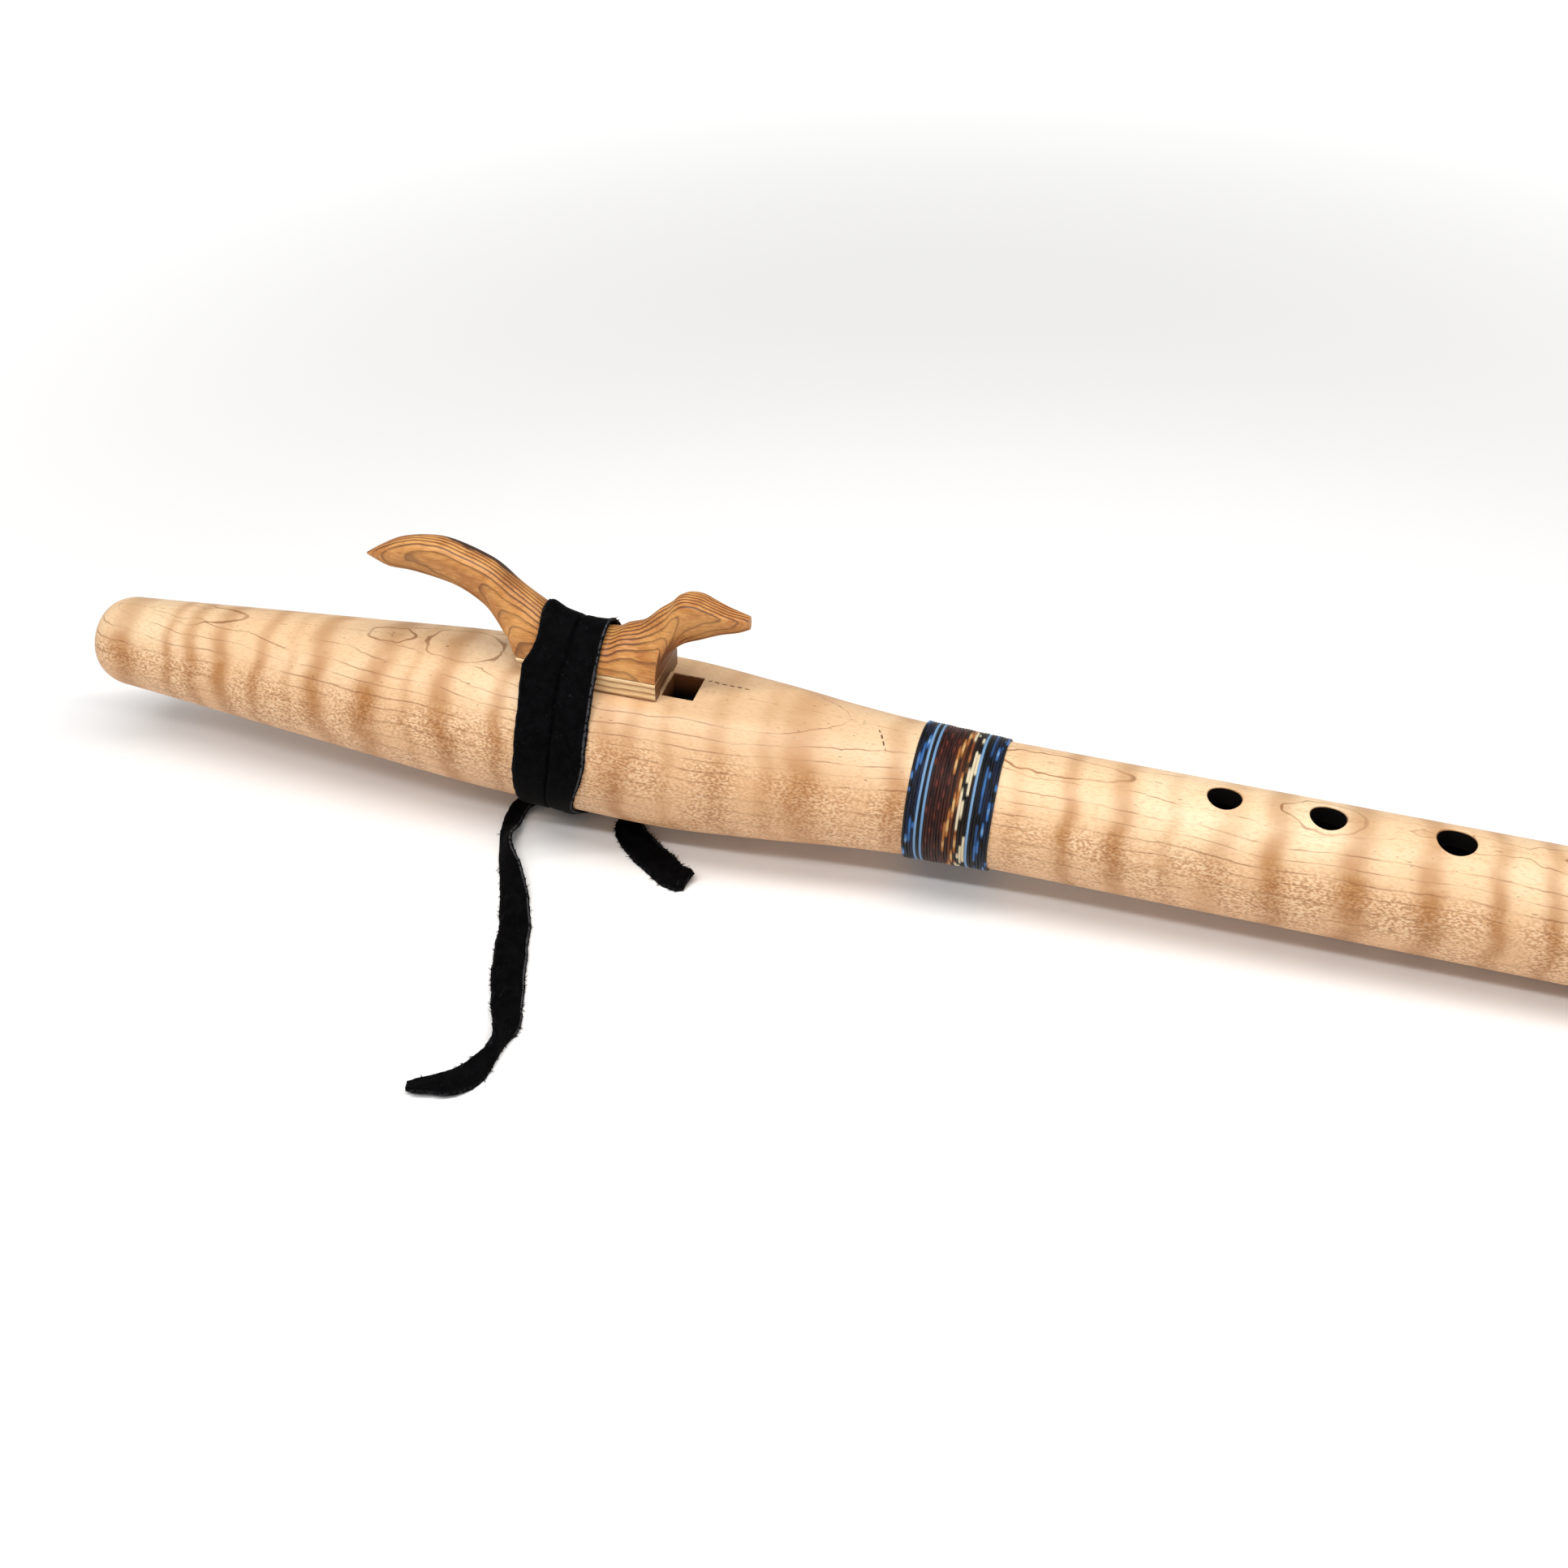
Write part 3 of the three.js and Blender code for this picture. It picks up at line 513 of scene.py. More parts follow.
# Edge-grained spruce, planed and oiled: pale yellow with dark layer lines that run level round the
# plate, and darker end grain in front.
def planed_spruce(look):
    n = Nodes("planed_spruce")
    place = n.straight_place()
    waver = n.noise(place, 1 / 9.0)
    level = n.plus(n.axes(place)[2], n.tuned(waver, 0.8, -0.4))
    layer = n.math("FRACT", n.tuned(level, 1 / 1.75))
    late = n.times(n.between(layer, 0.35, 0.85), n.between(layer, 1.0, 0.88))
    fibre = n.noise(n.spread(place, 0.3, 3.0, 5.0))
    base = n.mix(n.between(fibre, 0.3, 0.7), look.spruce_pale[:], colour("F4D8A6"))
    base = n.coat(base, colour("8A5226"), late, 0.75)
    base = n.coat(base, colour("5E3214"), n.between(n.facing()[0], 0.55, 0.9), 0.88)
    return n.done(base, n.tuned(fibre, 0.1, 0.42), n.tuned(late, 0.6), 0.35, 0.00015, IOR=1.5)


# Dyed cowhide lace, split and cut: matt black with a fine grain, a paler rubbed cut edge and dull
# scratches.
def black_lace_leather(look):
    n = Nodes("black_cowhide_lace")
    here = n.place()
    edge, across = n.attribute("edge"), n.attribute("across")
    links = {"Vector": here, "Scale": 1 / 0.00055}
    grain = add(n.tree, "ShaderNodeTexVoronoi", links, feature="F1").outputs[0]
    crease = n.noise(here, 1 / 0.0022, 4.0, 0.65)
    rub = n.noise(here, 1 / 0.0009, 3.0, 0.7)
    scratch = n.between(n.noise(n.spread(here, 1500, 180, 1500), 1.0, 1.0), 0.7, 0.78)
    worn = n.math("MULTIPLY", edge, n.between(rub, 0.42, 0.6), clamp=True)
    cut_edge = n.times(n.between(across, 0.83, 0.87), n.between(across, 0.95, 0.91),
                       n.between(rub, 0.4, 0.52))
    base = n.mix(n.between(crease, 0.35, 0.7), look.leather[:], colour("08080A"))
    base = n.coat(base, colour("3C3C40"), worn, 0.6)
    base = n.coat(base, colour("6C6C70"), cut_edge, 0.4)
    base = n.coat(base, colour("26262A"), scratch, 0.5)
    height = n.plus(n.tuned(grain, 0.6), n.tuned(crease, 1.2))
    return n.done(base, n.tuned(crease, 0.2, 0.6), height, 0.6, 0.00015, IOR=1.45,
                  Specular_IOR_Level=0.04)


# Twisted polyester thread, wound tight: each strand keeps its own dye, with a slight shine on the
# twist and painted shade in the twist's grooves.
def wound_thread():
    n = Nodes("wound_polyester_thread")
    links = {"Vector": n.place("UV"), "Scale": 1.0, "Distortion": 0.6, "Detail": 1.0}
    twist = add(n.tree, "ShaderNodeTexWave", links, wave_type="BANDS",
                bands_direction="DIAGONAL").outputs[0]
    # painted shade: the twist's bands darken the dye towards black, as shade in the grooves between
    # the plies
    base = n.coat(n.attribute("dye", "Color"), colour("000000"), n.tuned(twist, 0.35))
    return n.done(base, n.tuned(twist, -0.1, 0.5), twist, 0.5, 0.0001, IOR=1.45,
                  Specular_IOR_Level=0.35)


# Seamless white paper: it takes the flute's soft shadow and is otherwise as white as a
# photographer's sweep.
def white_paper():
    n = Nodes("white_paper_sweep")
    seen = add(n.tree, "ShaderNodeLightPath").outputs["Is Camera Ray"]
    lit = add(n.tree, "ShaderNodeBsdfDiffuse", {"Color": colour("F7F7F7")}).outputs[0]
    bounce = add(n.tree, "ShaderNodeBsdfDiffuse", {"Color": colour("EEEAE6")}).outputs[0]
    away = add(n.tree, "ShaderNodeVectorMath", {0: n.place()}, operation="LENGTH").outputs["Value"]
    strength = n.times(n.between(away, 0.25, 0.8), 0.66)
    links = {"Color": colour("FFFFFF"), "Strength": strength}
    glow = add(n.tree, "ShaderNodeEmission", links).outputs[0]
    both = add(n.tree, "ShaderNodeAddShader", {0: lit, 1: glow}).outputs[0]
    shown = add(n.tree, "ShaderNodeMixShader", {0: seen, 1: bounce, 2: both}).outputs[0]
    add(n.tree, "ShaderNodeOutputMaterial", {"Surface": shown})
    return n.material


def rings_along(x, r, sides, middle=0.0):
    """Round rings [station, side, xyz] about a line along x: y = r sin t and z = middle + r cos t."""
    t = np.linspace(0, 2 * np.pi, sides, endpoint=False)
    y = np.reshape(r, (-1, 1)) * np.sin(t)
    z = np.reshape(middle, (-1, 1)) + np.reshape(r, (-1, 1)) * np.cos(t)
    return np.stack([np.broadcast_to(np.reshape(x, (-1, 1)), y.shape), y, z], -1)


def body_grid(spacing, sides):
    """Rings of the turned outside. Both ends are rounded. Over the head z is held softly below the
    nest: z' = n - k ln(1 + exp((n - z) / k))."""
    quarter = np.linspace(0, np.pi / 2, 13)
    shoulder = body_radius(MOUTH_ROUNDING)
    x_mouth = MOUTH_ROUNDING * (1 - np.cos(quarter))
    r_mouth = MOUTH_RIM + (shoulder - MOUTH_RIM) * np.sin(quarter)
    tube_end = LENGTH - FOOT_ROUNDING
    x_tube = np.linspace(MOUTH_ROUNDING, tube_end, int(LENGTH / spacing))[1:]
    turn = np.linspace(0, np.pi / 2, 6)[1:]
    x_foot = tube_end + FOOT_ROUNDING * np.sin(turn)
    r_foot = TUBE_RADIUS - FOOT_ROUNDING * (1 - np.cos(turn))
    x = np.concatenate([x_mouth, x_tube, x_foot])
    r = np.concatenate([r_mouth, body_radius(x_tube), r_foot])
    grid = rings_along(x, r, sides, body_centre(x))
    held = np.logaddexp(0, (NEST - grid[..., 2]) / NEST_SOFTNESS)
    grid[..., 2] = NEST - NEST_SOFTNESS * held
    return grid


def body_normals(points):
    """Exact normals of the outside at points on it. With s the height of the unflattened surface
    over its centre and f the soft hold's slope, the normal is (-f (s c' + r r'), f y, s)."""
    x, y, z = points.T
    r, c = body_radius(x), body_centre(x)
    step = 0.05
    r_slope = (body_radius(x + step) - body_radius(x - step)) / (2 * step)
    c_slope = np.where(x < WHIPPING, DROOP / WHIPPING, 0)
    s = np.sqrt(np.clip(r * r - y * y, 0, None))
    over = np.clip((c + s - NEST) / NEST_SOFTNESS, -40, 40)
    held = np.where(z > c, 1 / (1 + np.exp(over)), 1)
    s = np.where(z > c, s, z - c)
    n = np.stack([-held * (s * c_slope + r * r_slope), held * y, s], -1)
    return n / np.linalg.norm(n, axis=1, keepdims=True)


def polish_body(made):
    """Gives the outside's corners their exact normals, so that cuts leave no mark in the shading."""
    mesh = made.data
    points = straight_points(made)
    vertex = read(mesh.loops, "vertex_index", kind=np.int32)
    normals = read(mesh.corner_normals, "vector", 3).astype(float)
    faces = read(mesh.polygons, "normal", 3).astype(float)
    face_normals = np.repeat(faces, read(mesh.polygons, "loop_total", kind=np.int32), axis=0)
    exact = (body_normals(points) @ TURN.T)[vertex]
    x = points[vertex, 0]
    facing = np.einsum("ij,ij->i", exact, face_normals) > 0.93
    outside = facing & (x > MOUTH_ROUNDING + 0.5) & (x < LENGTH - FOOT_ROUNDING - 0.1)
    normals[outside] = exact[outside]
    mesh.normals_split_custom_set(normals.tolist())


def round_chamber(start, end, radius, dome, middle=0.0):
    """Rings of a round chamber along x, whose first end is domed where dome is not 0."""
    x, r = np.array([start, end]), np.array([radius, radius])
    if dome:
        turn = np.linspace(0.02, np.pi / 2, 9)
        x = np.concatenate([start + dome * (1 - np.cos(turn)), [end]])
        r = np.concatenate([radius * np.sin(turn), [radius]])
    return rings_along(x, r, HOLLOW_SIDES, middle)


def finger_hole(x, radius):
    """Rings of a cutter for a finger hole: a straight shaft whose rim follows the round tube,
    z = sqrt(R^2 - y^2) + offset, and opens out by a small rounding there."""
    easing = 0.55
    turn = np.linspace(0, np.pi / 2.4, 6)
    out = np.concatenate([[0, 0], easing * (1 - np.cos(turn)), [easing * 1.3]])
    offset = np.concatenate([[-16, -3], -easing + easing * np.sin(turn) + 0.03, [1.5]])
    t = np.linspace(0, 2 * np.pi, HOLE_SIDES, endpoint=False)
    rho = radius + out[:, None]
    y = rho * np.sin(t)
    level = np.sqrt(TUBE_RADIUS ** 2 - y ** 2) + offset[:, None]
    level[0] = 1.0
    return np.stack([x + rho * np.cos(t), y, level], -1)


def prism(x, z, half_width):
    """A closed object from a side outline (x, z) drawn out to both sides."""
    outline = np.stack([np.asarray(x, float), np.asarray(z, float)], -1)
    sides = [np.insert(outline, 1, y, axis=1) for y in (-half_width, half_width)]
    return solid_from_grid("cutter", np.stack(sides))


def inside_share(points):
    """1 on the walls of the bore and holes, 0 on the outside, by how far a point lies under the
    outside, in millimetres."""
    x, y, z = points.T
    r = np.hypot(y, z - body_centre(x))
    depth = np.where(z > NEST - 0.6, NEST - 0.1 - z, body_radius(x) - r)
    mouth_face = (x < MOUTH_ROUNDING + 0.2) & (r > BREATH_RADIUS + 0.3)
    foot_face = (x > LENGTH - FOOT_ROUNDING - 0.1) & (r > BORE_RADIUS + 0.3)
    return smoothstep(0.35, 1.2, depth) * ~(mouth_face | foot_face)


FLAMES = np.array([
    # place of the band, its half width, its strength, its slant along the girth
    [11.3, 3.2, 0.8, 0.0], [25.3, 1.3, 0.75, 0.0], [32.3, 1.9, 0.8, 0.5], [41.3, 2.4, 0.9, 0.6],
    [53.3, 1.8, 0.75, -0.4], [62.3, 1.2, 0.35, 0.3], [70.3, 2.8, 0.9, 0.5], [87.3, 3.4, 0.95, -0.6],
    [97.3, 1.2, 0.4, 0.4], [106.8, 2.8, 0.9, 0.6], [123.3, 1.9, 0.75, 0.0], [137.3, 2.0, 0.4, -0.4],
    [151.3, 2.6, 0.5, 0.8], [159.3, 2.0, 0.5, -0.6], [167.3, 1.4, 0.35, 0.4],
    [180.3, 2.4, 0.45, 0.5], [192.3, 2.0, 0.4, 0.6], [200.8, 4.4, 0.7, 0.7], [224.8, 2.6, 0.7, 0.5],
    [243.3, 1.6, 0.35, 0.0], [254.3, 1.6, 0.3, 0.4], [266.9, 1.9, 0.85, 0.5],
    [279.3, 2.4, 0.85, 0.4], [291.3, 1.6, 0.35, 0.4], [303.8, 3.0, 0.45, -0.4],
    [315.8, 2.9, 0.85, 0.6], [334.3, 3.4, 0.9, 0.4], [351.3, 2.9, 0.85, 0.5], [366.3, 1.9, 0.8, 0.4],
    [378.3, 1.9, 0.8, 0.5], [392.3, 2.8, 0.7, -0.3], [407.3, 2.0, 0.8, 0.5], [420.3, 3.0, 0.75, 0.4],
    [437.3, 2.1, 0.85, 0.3], [451.3, 3.1, 0.7, 0.6], [468.3, 2.3, 0.8, -0.4],
    [483.3, 2.8, 0.8, 0.5], [497.3, 2.0, 0.7, 0.3],
])


def flame_strength(points):
    """Strength of the curl's bands: for each a bell over x - place - slant, whose edges waver round
    the girth."""
    x, y, z = points.T
    girth = np.arctan2(np.abs(y), z - body_centre(x)) * body_radius(x)
    waver = 0.7 * np.sin(girth / 4.3 + x / 31) + 0.4 * np.sin(girth / 1.9 + x / 17 + 1.3)
    place, half, strength, slant = FLAMES.T
    off = x[:, None] + waver[:, None] - place - slant * (girth[:, None] / 6 - 2)
    return (strength * np.exp(-np.abs(off / (half * 1.15)) ** 2.6)).sum(1).clip(0, 1)


RING_LEVELS = [-22, -18.5, -14.4, -10.8, -7.3, -3.4, 0.3, 5, 7.4, 10.3, 12, 14.3, 16.45, 18.6, 20.6,
               23]
LOOPS = np.array([
    # hills in the growth lines on top: middle x, half length, half width across, height
    [20.3, 9, 4.2, 1.3], [48.3, 9, 4.6, 1.1], [87.3, 7.5, 4.2, 1.5], [106.3, 9.5, 5.4, 1.8],
    [232.3, 14, 4.4, 1.2], [266.3, 15, 3.6, 1.35], [309.3, 12, 3.0, 0.8], [332.3, 9, 3.4, 1.2],
    [349.3, 4.5, 1.9, 0.9], [394.3, 15, 3.4, 1.1], [436.3, 12, 3.1, 0.9], [474.3, 16, 3.6, 1.2],
])


def ring_number(points):
    """How many growth lines lie below each point. They are nearly level planes, RING_LEVELS, lifted
    under each hill by its height times exp(-u^4 - v^2)."""
    x, y, z = points.T
    middle, long, wide, lift = LOOPS.T
    u, v = (x[:, None] - middle) / long, y[:, None] / wide
    hills = (lift * np.exp(-(u ** 4) - v * v)).sum(1) * (z > 8)
    sway = 0.45 * np.sin(x / 23.0 + 0.6) + 0.3 * np.sin(x / 9.7)
    sway = sway + 0.25 * np.sin(x / 5.1 + np.abs(y) / 4)
    return np.interp(z + hills + sway, RING_LEVELS, np.arange(len(RING_LEVELS)))


# The block's slices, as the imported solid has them: top edge (x, z), bottom edge (x, z), half width,
# level of the widest place from -1 at the bottom to 1 at the top, and how boxy the slice is above
# and below that. Each table is in shares of a reach and a height from the base's rear or front.
BASE = {"rear": 125.7, "front": 162.7, "bottom": 23.8, "half_width": 8.7}
TAIL_ROWS = [
    [0.998, 0.737, 0.99, 0.712, 0.05, 0, 2, 2],
    [0.893, 0.858, 0.83, 0.623, 0.26, 0.2, 2.6, 2],
    [0.751, 0.98, 0.723, 0.626, 0.38, 0.3, 2.6, 1.9],
    [0.524, 1.045, 0.452, 0.558, 0.46, 0.35, 2.6, 1.9],
    [0.211, 0.893, 0.24, 0.373, 0.53, 0.25, 2.6, 2],
    [0.038, 0.67, 0.096, 0.085, 0.68, -0.3, 2.4, 2.2],
]
BACK_ROWS = [
    [0.065, 1.74, 0, 0, 0.88, -1, 2.2, 2],
    [0.146, 1.47, 0.113, 0, 0.93, -1, 2, 2],
    [0.259, 1.13, 0.259, 0, 0.97, -1, 1.8, 2],
    [0.478, 0.99, 0.478, 0, 1, -1, 1.7, 2],
    [0.624, 1.03, 0.624, 0, 1, -1, 1.7, 2],
    [0.729, 1.3, 0.729, 0, 0.99, -1, 1.8, 2],
    [0.844, 1.57, 0.864, 0, 0.985, -1, 1.7, 2],
]
HEAD_ROWS = [
    [-0.04, 0.79, 0, 0, 0.98, -1, 1.55, 2],
    [0.09, 0.9, 0.01, 0.14, 0.76, -0.85, 1.8, 2],
    [0.17, 0.98, 0.07, 0.22, 0.6, -0.35, 2.4, 1.9],
    [0.28, 1.01, 0.22, 0.36, 0.49, 0.45, 3.4, 1.7],
    [0.41, 0.998, 0.43, 0.463, 0.45, 0.7, 4, 1.7],
    [0.58, 0.936, 0.66, 0.575, 0.38, 0.72, 4, 1.7],
    [0.79, 0.882, 0.87, 0.652, 0.28, 0.7, 4, 1.8],
    [0.975, 0.87, 0.99, 0.72, 0.16, 0.4, 3, 2],
]
# rows, where they start, their reach along x and their height
BLOCK_TABLES = [(TAIL_ROWS, "rear", -42.2, 24.6), (BACK_ROWS, "rear", 37, 7.8),
                (HEAD_ROWS, "front", 22.2, 21.6)]


def block_rows():
    """The slices in millimetres, from the tail's tip to the nose."""
    parts = []
    for rows, start, reach, height in BLOCK_TABLES:
        scale = np.array([reach, height, reach, height, BASE["half_width"], 1, 1, 1])
        shift = np.array([BASE[start], BASE["bottom"], BASE[start], BASE["bottom"], 0, 0, 0, 0])
        parts.append(np.array(rows) * scale + shift)
    return np.concatenate(parts)


def block_grid(per_row, sides):
    """Rings [slice, side, xyz]. A slice goes from its bottom edge (level -1) to its top edge (level
    1). Its half width is w |cos a|^(2/n), its level is m + (1 -+ m) |sin a|^(2/n), with m the
    widest level."""
    rows = block_rows()
    place = np.linspace(0, len(rows) - 1, (len(rows) - 1) * per_row + 1)
    index = np.arange(len(rows))
    smooth = [through(np.stack([index, column], 1), place)[:, None] for column in rows.T]
    tx, tz, bx, bz, w, m, n_up, n_low = smooth
    a = 2 * np.pi * (np.arange(sides) + 0.5) / sides
    sin, cos = np.sin(a)[None], np.cos(a)[None]
    n = np.where(sin > 0, n_up, n_low)
    across = np.sign(cos) * np.abs(cos) ** (2 / n)
    up = np.sign(sin) * np.abs(sin) ** (2 / n)
    t = (m + up * np.where(up > 0, 1 - m, 1 + m) + 1) / 2
    return np.stack([bx + (tx - bx) * t, w * across, bz + (tz - bz) * t], -1)


def plate_grid(steps):
    """Rings of the spacer plate from rear to front, with its corners eased."""
    share = np.linspace(0, 1, steps)
    width = BASE["half_width"] * through(PLATE_WIDTHS, share)
    e = PLATE_EASING
    side = np.array([[-1, 0, e, 0], [-1, 0, 0, e], [-1, 1, 0, -e], [-1, 1, e, 0],
                     [1, 1, -e, 0], [1, 1, 0, -e], [1, 0, 0, e], [1, 0, -e, 0]])
    rake = PLATE_RAKE * (1 - side[:, 1]) * (1 - share)[:, None]
    x = BASE["rear"] + rake + (BASE["front"] - BASE["rear"]) * share[:, None]
    y = side[:, 0] * width[:, None] + side[:, 2]
    z = np.broadcast_to(PLATE_BOTTOM + PLATE_THICKNESS * side[:, 1] + side[:, 3], y.shape)
    return np.stack([x, y, z], -1)


# Points this near a station, in millimetres, count as on it. Directions whose cosine to the
# wanted one is less are left out.
HALF_SLAB, LEAST_FACING = 1.3, 0.45


def hull_radius(x, angles, carried):
    """Radius, from the axis, of the tight loop round the body, plate and block at each station x:
    with h(a) their reach in direction a, it is the least of h(a) / cos(a - t) over a."""
    a = np.linspace(0, 2 * np.pi, 144, endpoint=False)
    sin, cos = np.sin(a), np.cos(a)
    reach = np.empty((len(x), len(a)))
    for i, station in enumerate(x):
        r, c = float(body_radius(station)), float(body_centre(station))
        ring = np.stack([r * sin, np.minimum(NEST, c + r * cos)], 1)
        near = carried[np.abs(carried[:, 0] - station) < HALF_SLAB][:, 1:]
        reach[i] = (np.concatenate([ring, near]) @ np.stack([sin, cos])).max(0)
    facing = np.cos(a[None, :] - np.asarray(angles)[:, None])
    ratio = reach / np.where(facing > LEAST_FACING, facing, 1)
    return np.where(facing > LEAST_FACING, ratio, 1e9).min(1)


def lace_section(width, thickness, count):
    """A flat section [along, out] with rounded edges, and how near each point is to an edge, from 0
    to 1."""
    half = np.linspace(-1, 1, count)
    crown = (1 - np.abs(half) ** 9) ** 0.5
    both = np.concatenate([half, half[::-1]])
    out = thickness * np.concatenate([0.42 * (1 - crown), crown[::-1]])
    return both * width / 2, out, smoothstep(0.86, 1.0, np.abs(both))


# The turns' front edge, and in millimetres how much narrower they are over the block and at the
# knot, how far back they lie at the knot, and what the second turn adds to the last two
WRAP_FRONT = 148.1
BLOCK_PINCH, KNOT_PINCH, KNOT_SETBACK, SECOND_TURN = 1.35, 1.3, 4.3, 1.1
LANE_GAP = 0.04
WRAP_STATIONS = np.linspace(120.0, 150.0, 61)
WRAP_ANGLES = np.linspace(-np.pi, np.pi, 181)


def wrap_turns(carried, width, thickness):
    """Rings of the lace's two flat turns: round the flute and over the block's back, and across to
    the next lane underneath. They are drawn narrower over the block and at the knot, and their
    edges waver a little, as cut leather does. Returns the grid, how near each point is to a free
    edge, and its place across from -1 to 1."""
    crossing = math.radians(22.5)
    angle = np.linspace(crossing, 4 * np.pi - crossing, 260)
    change = smoothstep(2 * np.pi - 1.2 * crossing, 2 * np.pi + 1.9 * crossing, angle)
    t = angle - np.pi
    over, under = smoothstep(0.9, 0.985, np.cos(t)), smoothstep(-0.25, 0.7, -np.cos(t))
    added = SECOND_TURN * change
    drawn = width - BLOCK_PINCH * over - (KNOT_PINCH + added) * under
    lane = (1.5 - change) * (drawn + LANE_GAP)
    middle = WRAP_FRONT - (KNOT_SETBACK + added) * under - lane
    middle = middle + 0.12 * wavy(angle, 2.0, 2.1, 0.9)
    along, out, edge = lace_section(width, thickness, 17)
    loose = np.where(along > 0, change[:, None], 1 - change[:, None])
    ragged = 0.16 * wavy(angle, 0.7, 0.31, 0.17, 0.53)[:, None] * np.sign(along) * edge * loose
    stretch = (drawn / width)[:, None] * (1 + 0.02 * loose * wavy(angle, 4.0, 1.3, 0.6)[:, None])
    x = middle[:, None] + along * stretch + ragged

    # the tight loop's radius, from a table of stations and angles with straight lines between
    table = np.stack([hull_radius(np.full(len(WRAP_ANGLES), s), WRAP_ANGLES, carried)
                      for s in WRAP_STATIONS])
    turned = (t[:, None] + np.pi) % (2 * np.pi) - np.pi + 0 * x
    rows, columns = len(WRAP_STATIONS) - 1, len(WRAP_ANGLES) - 1
    i = np.clip((x - WRAP_STATIONS[0]) / np.ptp(WRAP_STATIONS) * rows, 0, rows - 0.001)
    j = np.clip((turned + np.pi) / np.ptp(WRAP_ANGLES) * columns, 0, columns - 0.001)
    i0, j0 = i.astype(int), j.astype(int)
    fi, fj = i - i0, j - j0
    low = table[i0, j0] * (1 - fi) + table[i0 + 1, j0] * fi
    high = table[i0, j0 + 1] * (1 - fi) + table[i0 + 1, j0 + 1] * fi
    radius = low * (1 - fj) + high * fj
    radius = radius + 0.2 + out + 0.12 * wavy(angle, 9.0, 0.8, 0.37)[:, None] * edge
    grid = np.stack([x, radius * np.sin(turned), radius * np.cos(turned)], -1)
    return grid, edge * loose, along / width * 2 * loose


# The free ends: their routes from the knot's middle, in millimetres on the table, how far they are
# turned about their own line, as [share, degrees], and how far drawn together, as [share, factor]
LONG_TAIL = [
    [-8.1, -1.7, 2.6], [-11, -2.4, 2.1], [-13.6, -5, 1.5], [-14.4, -9.6, 1], [-13.6, -15, 0.95],
    [-12.3, -21, 0.95], [-8.8, -28.5, 0.95], [-3.2, -38, 0.95], [1.2, -47.7, 0.95],
    [5, -59, 0.95], [8, -68.5, 0.95], [11.2, -76, 0.95], [14, -83.5, 0.95], [14.7, -90.5, 0.95],
    [12.5, -97, 0.95], [8, -101.6, 0.95], [3, -104.3, 0.95], [-1.2, -105.8, 0.95],
]
LONG_TURNS = [[0, 0], [0.12, 10], [0.2, 50], [0.3, 24], [0.42, 0], [0.62, -6], [0.73, -18],
              [0.8, -72], [0.87, -8], [0.94, 8], [1, 16]]
LONG_WIDTHS = [[0, 0.8], [0.12, 0.72], [0.2, 0.7], [0.3, 0.9], [0.4, 1.04], [0.58, 1.14],
               [0.68, 1.05], [0.76, 0.85], [0.83, 0.62], [0.88, 1], [0.92, 1.12], [0.96, 0.85],
               [1, 0.6]]
SHORT_TAIL = [
    [8.1, 1.7, 2.6], [11.6, 2.6, 2.2], [14.9, 2.6, 1.7], [15.9, -0.8, 1.3], [16.4, -5.6, 1.05],
    [19.4, -10.2, 0.95], [24.4, -14.3, 0.95], [29.3, -18.2, 0.95], [33.9, -21.6, 1.15],
    [39.0, -23.8, 2.2],
]
SHORT_TURNS = [[0, 0], [0.3, 14], [0.6, 4], [0.85, 6], [1, 22]]
SHORT_WIDTHS = [[0, 0.8], [0.2, 0.85], [0.42, 1.08], [0.7, 1.2], [0.9, 1.1], [1, 0.95]]
TAIL_WIDTH, TAIL_THICKNESS = 7.4, 1.1
TABLE_GAP = 0.12
# The pale cut edge shows on this share of a free end, and on the rest it is turned away
EDGE_SHOWN = 0.79


def spline(points, count):
    """A smooth curve through points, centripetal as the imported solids' routes are, at count even
    steps, and its length."""
    p = np.asarray(points, float)
    p = np.concatenate([[2 * p[0] - p[1]], p, [2 * p[-1] - p[-2]]])
    samples = []
    for k in range(1, len(p) - 2):
        a, b, c, d = p[k - 1:k + 3]
        chords = [np.linalg.norm(b - a), np.linalg.norm(c - b), np.linalg.norm(d - c)]
        t1, t2, t3 = np.cumsum(np.sqrt(chords))
        t = np.linspace(t1, t2, 24, endpoint=False)[:, None]
        ab, bc = a + (b - a) * t / t1, b + (c - b) * (t - t1) / (t2 - t1)
        cd = c + (d - c) * (t - t2) / (t3 - t2)
        abc, bcd = ab + (bc - ab) * t / t2, bc + (cd - bc) * (t - t1) / (t3 - t1)
        samples.append(abc + (bcd - abc) * (t - t1) / (t2 - t1))
    dense = np.concatenate(samples + [p[-2][None]])
    steps = np.linalg.norm(np.diff(dense, axis=0), axis=1)
    run = np.concatenate([[0], np.cumsum(steps)])
    even = np.linspace(0, run[-1], count)
    return np.stack([np.interp(even, run, dense[:, k]) for k in range(3)], 1), run[-1]


def unit(vectors):
    """Vectors of length 1 in the same directions."""
    return vectors / np.linalg.norm(vectors, axis=1, keepdims=True)


